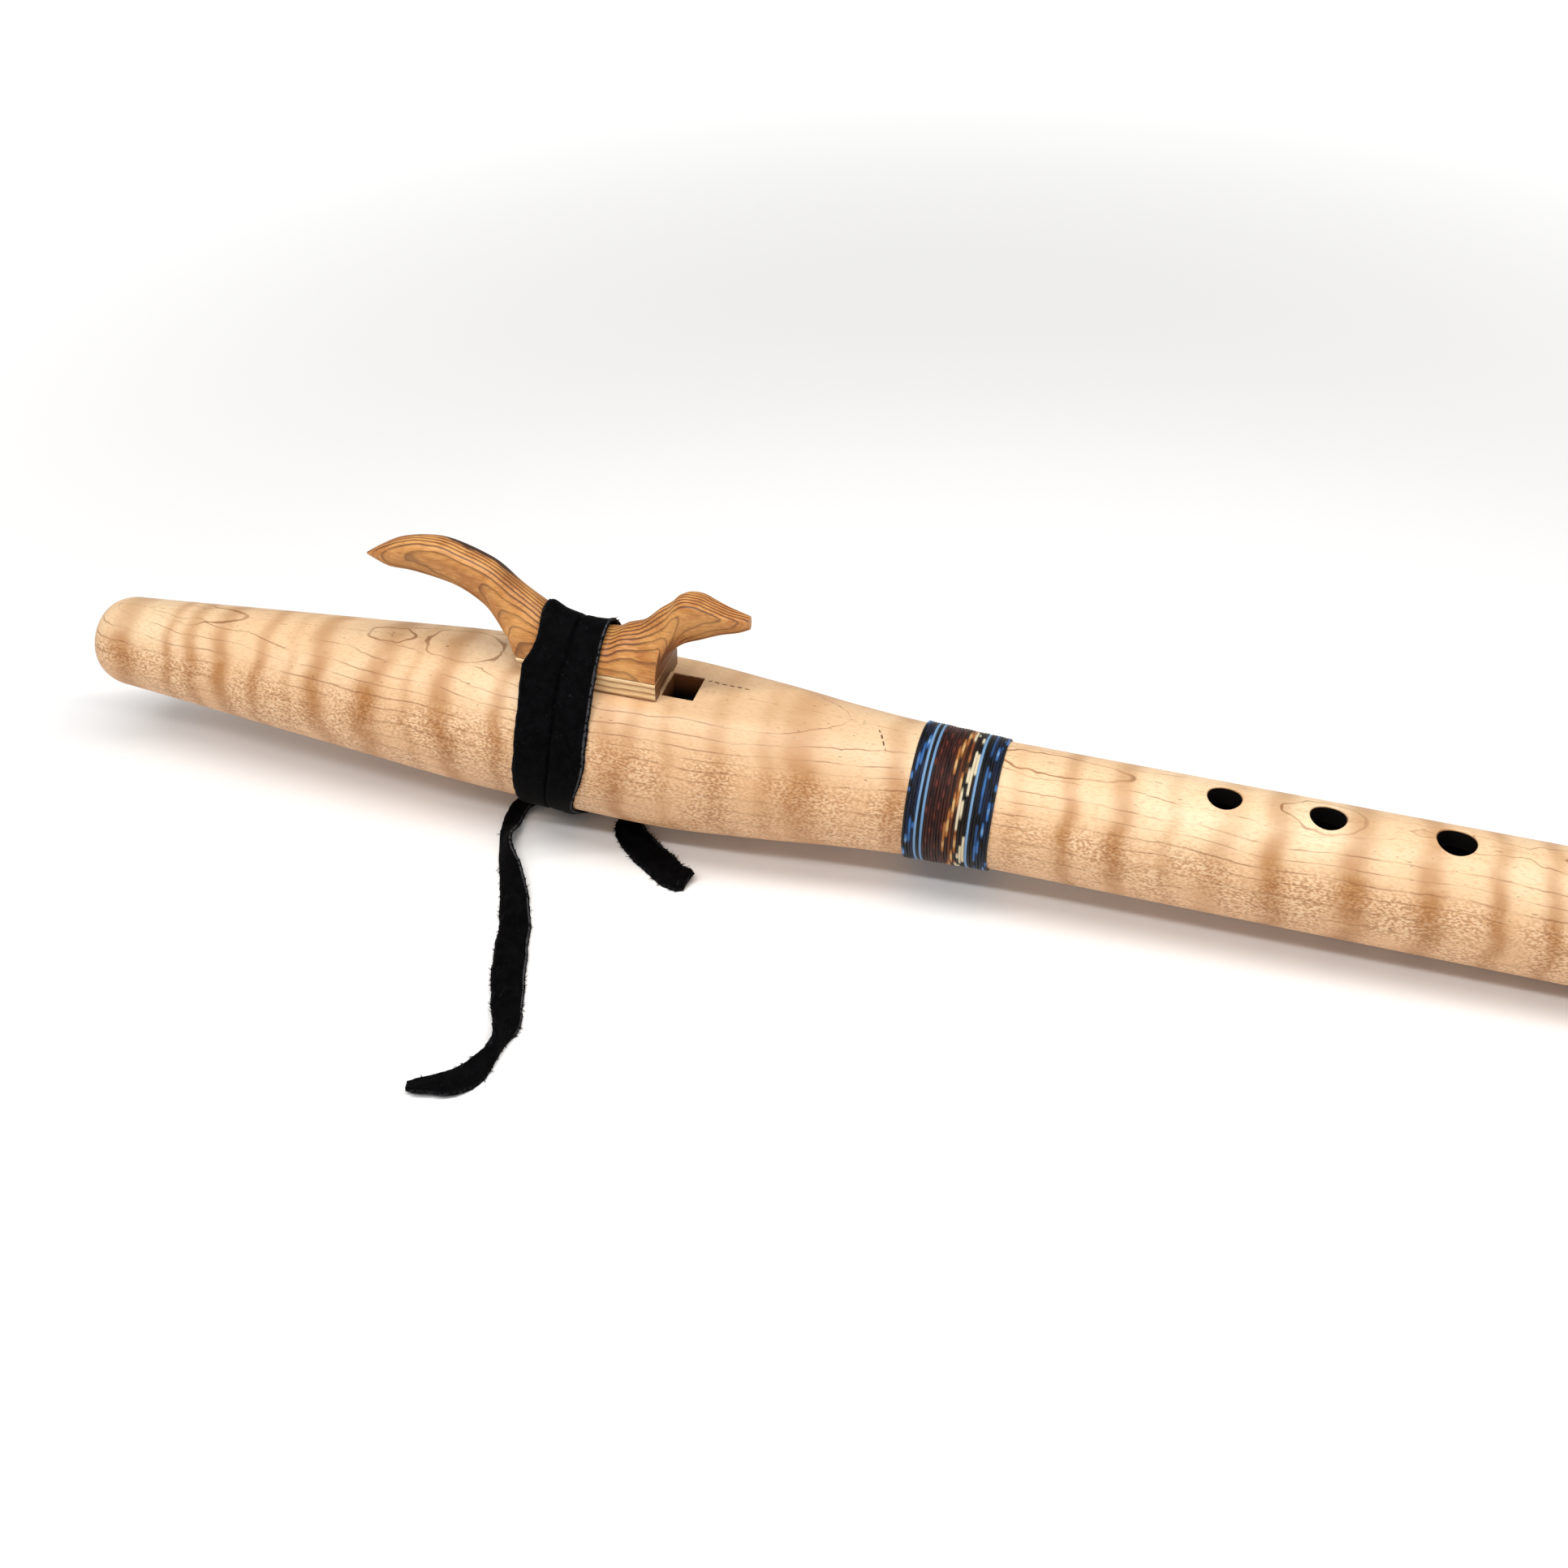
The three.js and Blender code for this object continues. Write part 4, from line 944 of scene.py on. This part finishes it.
def add_fibres(points, faces, rings, steps, seed, sides=(0, 1), least=0.1):
    """Adds loose fibres of the cut edges to a mesh: thin three-sided spikes that stand out of the
    edge points of its rings at the given steps, no lower than least. Their length is
    0.5 + 1.0 u^2 mm for an even random u. Returns all points, all faces and how many are new."""
    pick = np.random.default_rng(seed)
    side = pick.choice(sides, len(steps))
    columns = rings.shape[1] // 2
    edge = rings[steps, np.where(side, columns - 1, 0)]
    inner = rings[steps, np.where(side, columns - 5, 4)]
    along = rings[np.minimum(steps + 1, len(rings) - 1), 0] - rings[steps - 1, 0]
    lean = pick.uniform(-1.3, 1.3, (len(steps), 1))
    way = unit(unit(edge - inner) + unit(along) * lean + [0, 0, 0.15])
    reach = 0.5 + 1.0 * pick.uniform(0, 1, (len(steps), 1)) ** 2
    base = edge - way * 0.3
    across = unit(np.cross(way, [0, 0, 1])) * 0.17
    rise = np.cross(across, way) * 1.6
    spikes = np.stack([base + across, base - across, base + rise, edge + way * reach], 1)
    spikes[..., 2] = np.maximum(spikes[..., 2], least)
    spikes = spikes.reshape(-1, 3)
    triangles = ((0, 1, 2), (0, 3, 1), (1, 3, 2), (2, 3, 0))
    new = [[len(points) + 4 * k + corner for corner in triangle]
           for k in range(len(steps)) for triangle in triangles]
    return np.concatenate([points, spikes]), faces + new, len(spikes)


def lace_tail(name, route, turns, widths, material, tip, seed):
    """A free end of the lace: its flat section carried along a route on the table, turned about its
    own line and drawn together as its rows say, with a cut end that is ragged by tip."""
    line, length = spline(route, 260)
    line[:, 0] += KNOT_X
    share = np.linspace(0, 1, len(line))
    run = share * length
    tangent = unit(np.gradient(line, axis=0))
    level = unit(np.stack([-tangent[:, 1], tangent[:, 0], np.zeros(len(line))], 1))
    up = np.cross(tangent, level)
    roll = np.radians(through(turns, share))[:, None]
    across = np.cos(roll) * level + np.sin(roll) * up
    out = np.cos(roll) * up - np.sin(roll) * level
    along, thick, edge = lace_section(TAIL_WIDTH, TAIL_THICKNESS, 15)
    ragged = 0.13 * wavy(run, 1.3, 3.1, 1.7, 5.3)[:, None] * np.sign(along) * edge
    a = along * through(widths, share)[:, None] + ragged + 0.2 * wavy(run, 5.0, 19, 11)[:, None]
    end = smoothstep(1 - 2.0 / length, 1, share)[:, None]
    a = a * (1 - tip * end * np.abs(wavy(along, 2.0, 1.3, 0.7)))
    cup = 0.35 * np.sin(run / 9)[:, None] * (along / 3.8) ** 2
    t = (thick - TAIL_THICKNESS / 2) * (0.9 + 0.1 * np.sin(run / 2.3)[:, None]) + cup
    rings = line[:, None] + across[:, None] * a[..., None] + out[:, None] * t[..., None]
    rings[..., 2] += np.maximum(TABLE_GAP - rings[..., 2].min(1), 0)[:, None]
    steps = np.random.default_rng(seed + 90).beta(1.4, 1.0, 95) * (len(line) - 40) + 36
    points, faces, hairs = add_fibres(*capped(rings), rings, steps.astype(int), seed)
    made = linked_object(name, points / 1000, faces)
    set_attribute(made, "edge", padded(np.broadcast_to(edge, rings.shape[:2]), hairs, 1.0))
    set_attribute(made, "across", padded(along / along.max() * (share < EDGE_SHOWN)[:, None], hairs))
    seat_piece(made, "flute", "leather", material, name)


def pillow(name, length, width, low, high, turn, strands):
    """One pressed pass of the lace in the knot: a rounded pillow between the heights low and high,
    turned by turn degrees, with a soft fold line at each of strands, in shares of its width. Half
    sizes swell as 0.8 + 0.2 cos(pi s / 2), and a fold is a dent exp(-(y / 0.7)^2)."""
    s = np.linspace(-1, 1, 41)
    a = np.linspace(0, 2 * np.pi, 56, endpoint=False)
    end = np.clip((1 - np.abs(s) ** 6) ** 0.5, 0.04, None)
    swell = ((0.8 + 0.2 * np.cos(np.pi * s / 2)) * end)[:, None]
    y = width / 2 * swell * np.sign(np.cos(a)) * np.abs(np.cos(a)) ** 0.62
    dent = sum(np.exp(-((y - f * width) / 0.7) ** 2) for f in strands)
    crown = np.sign(np.sin(a)) * np.abs(np.sin(a)) ** 0.55 * (1 - 0.22 * dent)
    z = (high + low) / 2 + (high - low) / 2 * swell * crown
    x = np.broadcast_to((s * length / 2)[:, None], y.shape)
    c, d = math.cos(math.radians(turn)), math.sin(math.radians(turn))
    points, faces = capped(np.stack([KNOT_X + x * c - y * d, x * d + y * c, z], -1))
    made = linked_object(name, points / 1000, faces)
    set_attribute(made, "edge", padded(0.4 * np.clip(dent, 0, 1)))
    return made


# One colour of each turn of the whipping, from the head side
STRANDS = [
    "0B0F18", "14203A", "0E1626", "122040", "86B0DC", "0A0D14", "7FA9D6", "301410", "401B15",
    "381712", "441C15", "331510", "3E1913", "451E14", "4C2212", "2E160B", "6A3618", "3A1C0E",
    "8A4A26", "1C0F0A", "2A160C", "1C0F0A", "86B0DC", "0A0D14", "0C0F16", "2B5388", "14203A",
    "101A30", "14203A", "131A29",
]
EVEN_STRANDS = (4, 6, 22)
# From turn, to turn, turns round the flute per streak, drift per turn, least height, colour
STREAKS = [
    (0, 4, 5, 1.25, 0.6, "3C74B8"), (0, 4, 5, 1.25, 1.05, "8FBCE8"),
    (0, 4, 7, -1.1, 0.75, "06080D"), (7, 14, 9, 1.7, 0.85, "6A3024"),
    (7, 14, 6, -1.2, 0.75, "240E0B"), (14, 19, 5, 1.4, 0.25, "B8733A"),
    (14, 19, 5, 1.4, 0.85, "E8B878"), (18, 22, 4, 1.25, -0.1, "F6E6C4"),
    (18, 22, 5, -1.2, 0.6, "0E0806"), (25, 30, 5, 1.3, 0.6, "3C74B8"),
    (25, 30, 5, 1.3, 1.05, "7FAEE0"), (25, 30, 7, -1.1, 0.6, "06080D"),
]
THREAD_PITCH, THREAD_RADIUS = 0.705, 0.365
TURN_STEPS, THREAD_SIDES = 140, 9
# The thread's length per radian round the flute, 17 mm, in lays of 0.8 mm
TWIST = 17 / 0.8


def strand_colours(turn, girth):
    """The dye of each turn of the whipping, broken by streaks that drift round the flute: a streak
    lies where sin(n girth + drift turn) + 0.25 sin(3 n girth - turn) is over a height. Linear
    colours [point, rgba]."""
    base = np.array([colour(hex_text) for hex_text in STRANDS])
    index = np.clip(np.floor(turn + 1e-6).astype(int), 0, len(STRANDS) - 1)
    even = np.isin(index, EVEN_STRANDS)
    out = base[index]
    for first, last, count, drift, height, hex_text in STREAKS:
        wave = np.sin(count * girth + drift * turn + first)
        wave = wave + 0.25 * np.sin(3 * count * girth - turn)
        here = (index >= first) & (index < last) & ~even
        share = smoothstep(height, height + 0.2, wave) * here
        out = out + (np.array(colour(hex_text)) - out) * share[:, None]
    return out


def thread_coil(name, first, turns, material, slot):
    """A winding of the whipping: one round thread on a helix, turn beside turn."""
    steps = int(turns * TURN_STEPS)
    turn = first + np.arange(steps) / TURN_STEPS
    angle = 2 * np.pi * (turn - first)
    x = WHIPPING - 0.1 + turn * THREAD_PITCH + 0.05 * np.sin(angle * 3.3)
    radius = body_radius(x) + THREAD_RADIUS - 0.06 + 0.05 * np.sin(angle * 2.7 + turn)
    side = 2 * np.pi * np.arange(THREAD_SIDES) / THREAD_SIDES
    r = radius[:, None] + THREAD_RADIUS * np.cos(side)
    y = r * np.sin(angle)[:, None]
    z = body_centre(x)[:, None] - r * np.cos(angle)[:, None]
    grid = np.stack([x[:, None] + THREAD_RADIUS * 1.02 * np.sin(side), y, z], -1)
    made = solid_from_grid(name, grid, sharp=70)
    girth = np.repeat(angle % (2 * np.pi), THREAD_SIDES)
    colours = strand_colours(np.repeat(turn, THREAD_SIDES), girth)
    colours = np.concatenate([colours, colours[:1], colours[-1:]]).astype(np.float32)
    layer = made.data.color_attributes.new("dye", "FLOAT_COLOR", "POINT")
    layer.data.foreach_set("color", colours.reshape(-1))
    vertex = read(made.data.loops, "vertex_index", kind=np.int32)
    along = padded(np.repeat(angle * TWIST, THREAD_SIDES))
    around = padded(np.tile(side, steps))
    twist = np.stack([along[vertex], around[vertex]], -1).astype(np.float32)
    made.data.uv_layers.new(name="twist").data.foreach_set("uv", twist.reshape(-1))
    seat_piece(made, "flute", slot, material, name)


def place_camera(lens, yaw, pitch, roll, place):
    """The photograph's camera. Its axes are set in the straight frame, then laid down with the
    flute."""
    yaw, pitch, roll = (math.radians(v) for v in (yaw, pitch, roll))
    forward = np.array([math.sin(yaw) * math.cos(pitch), math.cos(yaw) * math.cos(pitch),
                        -math.sin(pitch)])
    right = np.array([math.cos(yaw), -math.sin(yaw), 0])
    up = np.cross(right, forward)
    across = math.cos(roll) * right + math.sin(roll) * up
    above = -math.sin(roll) * right + math.cos(roll) * up
    data = bpy.data.cameras.new("camera")
    data.lens, data.sensor_width = lens, 36
    data.clip_start, data.clip_end = 0.01, 20
    camera = bpy.data.objects.new("camera", data)
    bpy.context.scene.collection.objects.link(camera)
    whole = np.eye(4)
    whole[:3, :3] = TURN @ np.stack([across, above, -forward], 1)
    whole[:3, 3] = on_table(place)
    camera.matrix_world = Matrix(whole.tolist())
    bpy.context.scene.camera = camera


def lamp(name, place, size, slant, watts, tint):
    """A long thin area lamp at a place, in metres, aimed at the flute's middle: size is along x and
    across, and slant turns it on the spot."""
    data = bpy.data.lights.new(name, "AREA")
    data.shape = "RECTANGLE"
    data.size, data.size_y, data.energy = *size, watts
    data.color = colour(tint)[:3]
    made = bpy.data.objects.new(name, data)
    bpy.context.scene.collection.objects.link(made)
    made.location = place
    back = Vector(place).normalized()
    level = Vector((1, slant, 0))
    level = (level - back * level.dot(back)).normalized()
    made.rotation_euler = Matrix((level, back.cross(level), back)).transposed().to_euler()


def build_stage(look):
    """The camera, the white floor, the lamps and the pale surroundings."""
    place_camera(look.lens, look.camera_yaw, look.camera_pitch, look.camera_roll,
                 look.camera_place)
    scene = bpy.context.scene
    scene.view_settings.view_transform = "Standard"
    corners = [(-6, -6, 0), (6, -6, 0), (6, 6, 0), (-6, 6, 0)]
    floor = linked_object("floor", corners, [(0, 1, 2, 3)])
    floor.data.materials.append(white_paper())
    lamp("key", (0, -0.07, 0.6), (0.9, 0.04), 0.45, look.key, "FFFDFA")
    lamp("fill", (0, -0.39, 0.6), (2.0, 0.04), 0.03, look.fill, "FFFFFF")
    scene.world = bpy.data.worlds.new("room")
    scene.world.use_nodes = True
    tree = scene.world.node_tree
    tree.nodes.clear()
    white = colour("FFFFFF")
    light, backdrop = (add(tree, "ShaderNodeBackground", {"Color": white, "Strength": s}).outputs[0]
                       for s in (look.room, 1.0))
    seen = add(tree, "ShaderNodeLightPath").outputs["Is Camera Ray"]
    shown = add(tree, "ShaderNodeMixShader", {0: seen, 1: light, 2: backdrop}).outputs[0]
    add(tree, "ShaderNodeOutputWorld", {"Surface": shown})


def build_tails(look):
    """The lace's two free ends, on the table."""
    leather = black_lace_leather(look)
    lace_tail("strap_tail_long", LONG_TAIL, LONG_TURNS, LONG_WIDTHS, leather, 0.5, 11)
    lace_tail("strap_tail_short", SHORT_TAIL, SHORT_TURNS, SHORT_WIDTHS, leather, 0.3, 5)


def build_body(look):
    """The two maple halves, cut from one turned and routed body along the upright glue seam."""
    whole = solid_from_grid("body", body_grid(look.station_spacing, BODY_SIDES))
    for hollow in (round_chamber(CHAMBER_START, CHAMBER_END, CHAMBER_RADIUS, CHAMBER_RADIUS),
                   round_chamber(BORE_START, LENGTH + 5, BORE_RADIUS, 0),
                   round_chamber(-5, CHAMBER_START + CHAMBER_RADIUS, BREATH_RADIUS, 0, -DROOP)):
        cut(whole, solid_from_grid("cutter", hollow))
    cut(whole, prism([FLUE_START, CHAMBER_END, CHAMBER_END, FLUE_START], [0, 0, ABOVE, ABOVE],
                     FLUE_HALF_WIDTH))
    cut(whole, prism([BORE_START, RAMP_END, RAMP_END, SPLIT_EDGE, SPLIT_EDGE, BORE_START],
                     [0, 0, RAMP_FOOT, NEST - 0.2, ABOVE, ABOVE], FLUE_HALF_WIDTH))
    for share, size in FINGER_HOLES:
        hole = finger_hole(SPLIT_EDGE + share * SOUNDING_LENGTH, size * BORE_RADIUS)
        cut(whole, solid_from_grid("cutter", hole))
    maple = varnished_maple(look)
    for name, side in (("body_left_half", 1), ("body_right_half", -1)):
        half = bpy.data.objects.new(name, whole.data.copy())
        bpy.context.scene.collection.objects.link(half)
        near, far = sorted((HALF_SEAM * side, BEYOND * side))
        keep = [[[x, near, -BEYOND], [x, far, -BEYOND], [x, far, BEYOND], [x, near, BEYOND]]
                for x in (-BEYOND / 2, LENGTH + BEYOND / 2)]
        cut(half, solid_from_grid("cutter", keep), "INTERSECT")
        reshade(half, 35)
        polish_body(half)
        points = straight_points(half)
        set_attribute(half, "inside", inside_share(points))
        set_attribute(half, "curl", flame_strength(points))
        set_attribute(half, "rings", ring_number(points))
        seat_piece(half, "flute", "maple", maple, name)
    bpy.data.objects.remove(whole)


def build_plate(look):
    """The layered spacer plate with the flue groove in its underside."""
    plate = solid_from_grid("spacer_plate", plate_grid(41))
    below, top = 15.0, PLATE_BOTTOM + GROOVE_DEPTH
    cut(plate, prism([FLUE_START, GROOVE_END, GROOVE_END, FLUE_START], [below, below, top, top],
                     FLUE_HALF_WIDTH))
    reshade(plate)
    seat_piece(plate, "block", "spacer_wood", planed_spruce(look), "spacer_plate")


# The tail's darker far top edge: the height of the edge at x, and how far out y the darkening starts
FAR_EDGE_LEVELS = [[83.3, 42], [92.3, 47.2], [103.3, 48.4], [116.3, 44.4], [123.3, 39.7]]
FAR_EDGE_START = [[88, 1.5], [106, 1.3], [112, 0.1], [117, 0.3], [124, 1.6]]


def build_block(look):
    """The carved animal."""
    block = solid_from_grid("block", block_grid(look.slices_per_row, 96), sharp=38)
    x, y, z = straight_points(block).T
    along = smoothstep(88, 97, x) * (1 - smoothstep(121, 125, x))
    level, edge = (np.interp(x, *np.transpose(rows)) for rows in (FAR_EDGE_LEVELS, FAR_EDGE_START))
    uneven = y + 0.35 * np.sin(x / 2.1) + 0.2 * np.sin(x / 0.7)
    far_edge_dark = smoothstep(edge, edge + 1.0, uneven) * smoothstep(-6.5, -3, z - level) * along
    set_attribute(block, "far_edge_dark", 0.95 * far_edge_dark)
    seat_piece(block, "block", "carved_wood", oiled_cedar(look), "block")


# How far the block slides towards the mouth end, in millimetres
TUNING_SLIDE = 2.0


def build_lace(look):
    """The lace's two turns and its knot. The turns are tied over the block at rest and slid back,
    so that the block tunes under them without cutting into them."""
    slid_back = [TUNING_SLIDE, 0, 0]
    carving = block_grid(12, 48).reshape(-1, 3)
    carried = np.concatenate([carving, carving - slid_back, plate_grid(21).reshape(-1, 3)])
    grid, edge, across = wrap_turns(carried, look.lace_width * 1000, look.lace_thickness * 1000)
    leather = black_lace_leather(look)
    steps = np.random.default_rng(4).integers(150, 205, 26)
    points, faces, hairs = add_fibres(*capped(grid), grid, steps, 7, (1,), -99)
    wrap = mesh_object("strap_wrap", points, faces, sharp=60)
    set_attribute(wrap, "edge", padded(edge, hairs, 1.0))
    set_attribute(wrap, "across", padded(across, hairs))
    seat_piece(wrap, "flute", "leather", leather, "strap_wrap")
    carrying = pillow("strap_knot_pass", 13.5, 9.2, 0.9, 4.5, 75, (-0.17, 0.2))
    tails = pillow("strap_knot", 13.5, 9.4, 0.05, 3.5, 12, (0.05,))
    seat_piece(carrying, "flute", "leather", leather)
    seat_piece(tails, "flute", "leather", leather, "strap_knot")


def build_threads():
    """The three thread windings of the whipping."""
    thread = wound_thread()
    thread_coil("blue_thread_head_side", 0, 7.0, thread, "blue_thread")
    thread_coil("brown_thread", 7.0, 15.0, thread, "brown_thread")
    thread_coil("blue_thread_foot_side", 22.0, 8.0, thread, "blue_thread")


def paint(name, hex_text, description):
    """A colour property."""
    return bpy.props.FloatVectorProperty(name=name, subtype="COLOR", size=4, min=0, max=1,
                                         default=colour(hex_text), description=description)


def number(name, default, description, **limits):
    """A number property."""
    return bpy.props.FloatProperty(name=name, default=default, description=description, **limits)


class FLUTE_PG_look(bpy.types.PropertyGroup):
    """Sizes and colours of the flute's dress."""

    station_spacing: number("Station spacing", 1.25, "Between the body's rings, in millimetres",
                            min=0.5, max=5)
    slices_per_row: bpy.props.IntProperty(name="Slices", default=14, min=3, max=40,
                                          description="Slices between two rows of the carving")
    lace_width: number("Lace width", 0.0096, "Width of the leather lace", unit="LENGTH")
    lace_thickness: number("Lace thickness", 0.0011, "Thickness of the lace", unit="LENGTH")
    maple_pale: paint("Maple", "F3D7B0", "Palest maple, on top")
    maple_warm: paint("Warm maple", "ECC79C", "Warmer clouds in the maple")
    # painted shade on the maple's sides
    maple_side_shade: paint("Maple flank", "E2B284", "Maple low on the sides")
    maple_flame: paint("Maple flame", "A2641C", "Amber bands of the curl")
    growth_line: paint("Growth line", "86542C", "Thin brown growth lines")
    cedar_light: paint("Cedar", "D09452", "Light earlywood of the block")
    cedar_warm: paint("Warm cedar", "B67438", "Warmer earlywood of the block")
    cedar_line: paint("Cedar line", "4E260D", "Dark latewood lines of the block")
    spruce_pale: paint("Spruce", "E4B680", "Pale wood of the spacer plate")
    leather: paint("Leather", "020203", "Black dyed leather")
    # painted shade: near black for the walls of the holes and the bore
    painted_bore_shade: paint("Painted bore shade", "0B0605", "Dark walls of the holes and the bore")
    key: number("Key lamp", 3.25, "Watts", min=0)
    fill: number("Fill lamp", 3.2, "Watts", min=0)
    room: number("Room light", 0.36, "Brightness of the room", min=0)
    lens: number("Lens", 42.569, "Focal length in millimetres")
    camera_yaw: number("Yaw", -15.366, "Degrees")
    camera_pitch: number("Pitch", 39.517, "Degrees down")
    camera_roll: number("Roll", 1.238, "Degrees")
    camera_place: bpy.props.FloatVectorProperty(
        name="Camera place", default=(291.185, -354.084, 295.958),
        description="Place in the straight frame, in millimetres")


class FLUTE_OT_stage(bpy.types.Operator):
    """Adds the camera, floor and lamps"""

    bl_idname = "flute.stage"
    bl_label = "Stage"

    def execute(self, context):
        build_stage(context.scene.flute_look)
        return {"FINISHED"}


class FLUTE_OT_tails(bpy.types.Operator):
    """Adds the lace's free ends"""

    bl_idname = "flute.tails"
    bl_label = "Lace ends"

    def execute(self, context):
        build_tails(context.scene.flute_look)
        return {"FINISHED"}


class FLUTE_OT_body(bpy.types.Operator):
    """Adds the two maple halves"""

    bl_idname = "flute.body"
    bl_label = "Body"

    def execute(self, context):
        build_body(context.scene.flute_look)
        return {"FINISHED"}


class FLUTE_OT_plate(bpy.types.Operator):
    """Adds the plate under the block"""

    bl_idname = "flute.plate"
    bl_label = "Spacer plate"

    def execute(self, context):
        build_plate(context.scene.flute_look)
        return {"FINISHED"}


class FLUTE_OT_block(bpy.types.Operator):
    """Adds the carved block"""

    bl_idname = "flute.block"
    bl_label = "Block"

    def execute(self, context):
        build_block(context.scene.flute_look)
        return {"FINISHED"}


class FLUTE_OT_lace(bpy.types.Operator):
    """Adds the lace's turns and knot"""

    bl_idname = "flute.lace"
    bl_label = "Lace"

    def execute(self, context):
        build_lace(context.scene.flute_look)
        return {"FINISHED"}


class FLUTE_OT_threads(bpy.types.Operator):
    """Adds the three thread windings"""

    bl_idname = "flute.threads"
    bl_label = "Whipping"

    def execute(self, context):
        build_threads()
        return {"FINISHED"}


OPERATORS = (FLUTE_OT_stage, FLUTE_OT_tails, FLUTE_OT_body, FLUTE_OT_plate, FLUTE_OT_block,
             FLUTE_OT_lace, FLUTE_OT_threads)


class FLUTE_PT_panel(bpy.types.Panel):
    """The flute's sizes, colours and steps."""

    bl_label = "Flute"
    bl_idname = "FLUTE_PT_panel"
    bl_space_type = "VIEW_3D"
    bl_region_type = "UI"
    bl_category = "Flute"

    def draw(self, context):
        look = context.scene.flute_look
        for name in FLUTE_PG_look.__annotations__:
            self.layout.prop(look, name)
        for operator in OPERATORS:
            self.layout.operator(operator.bl_idname)


CLASSES = (FLUTE_PG_look, *OPERATORS, FLUTE_PT_panel)


def register():
    """Registers the classes and the scene's property."""
    for made in CLASSES:
        bpy.utils.register_class(made)
    bpy.types.Scene.flute_look = bpy.props.PointerProperty(type=FLUTE_PG_look)


def unregister():
    """Takes the classes and the property away again."""
    del bpy.types.Scene.flute_look
    for made in reversed(CLASSES):
        bpy.utils.unregister_class(made)


def main():
    """Makes the whole flute."""
    register()
    bpy.ops.flute.stage()
    bpy.ops.flute.tails()
    bpy.ops.flute.body()
    bpy.ops.flute.plate()
    bpy.ops.flute.block()
    bpy.ops.flute.lace()
    bpy.ops.flute.threads()


if __name__ == "__main__":
    main()
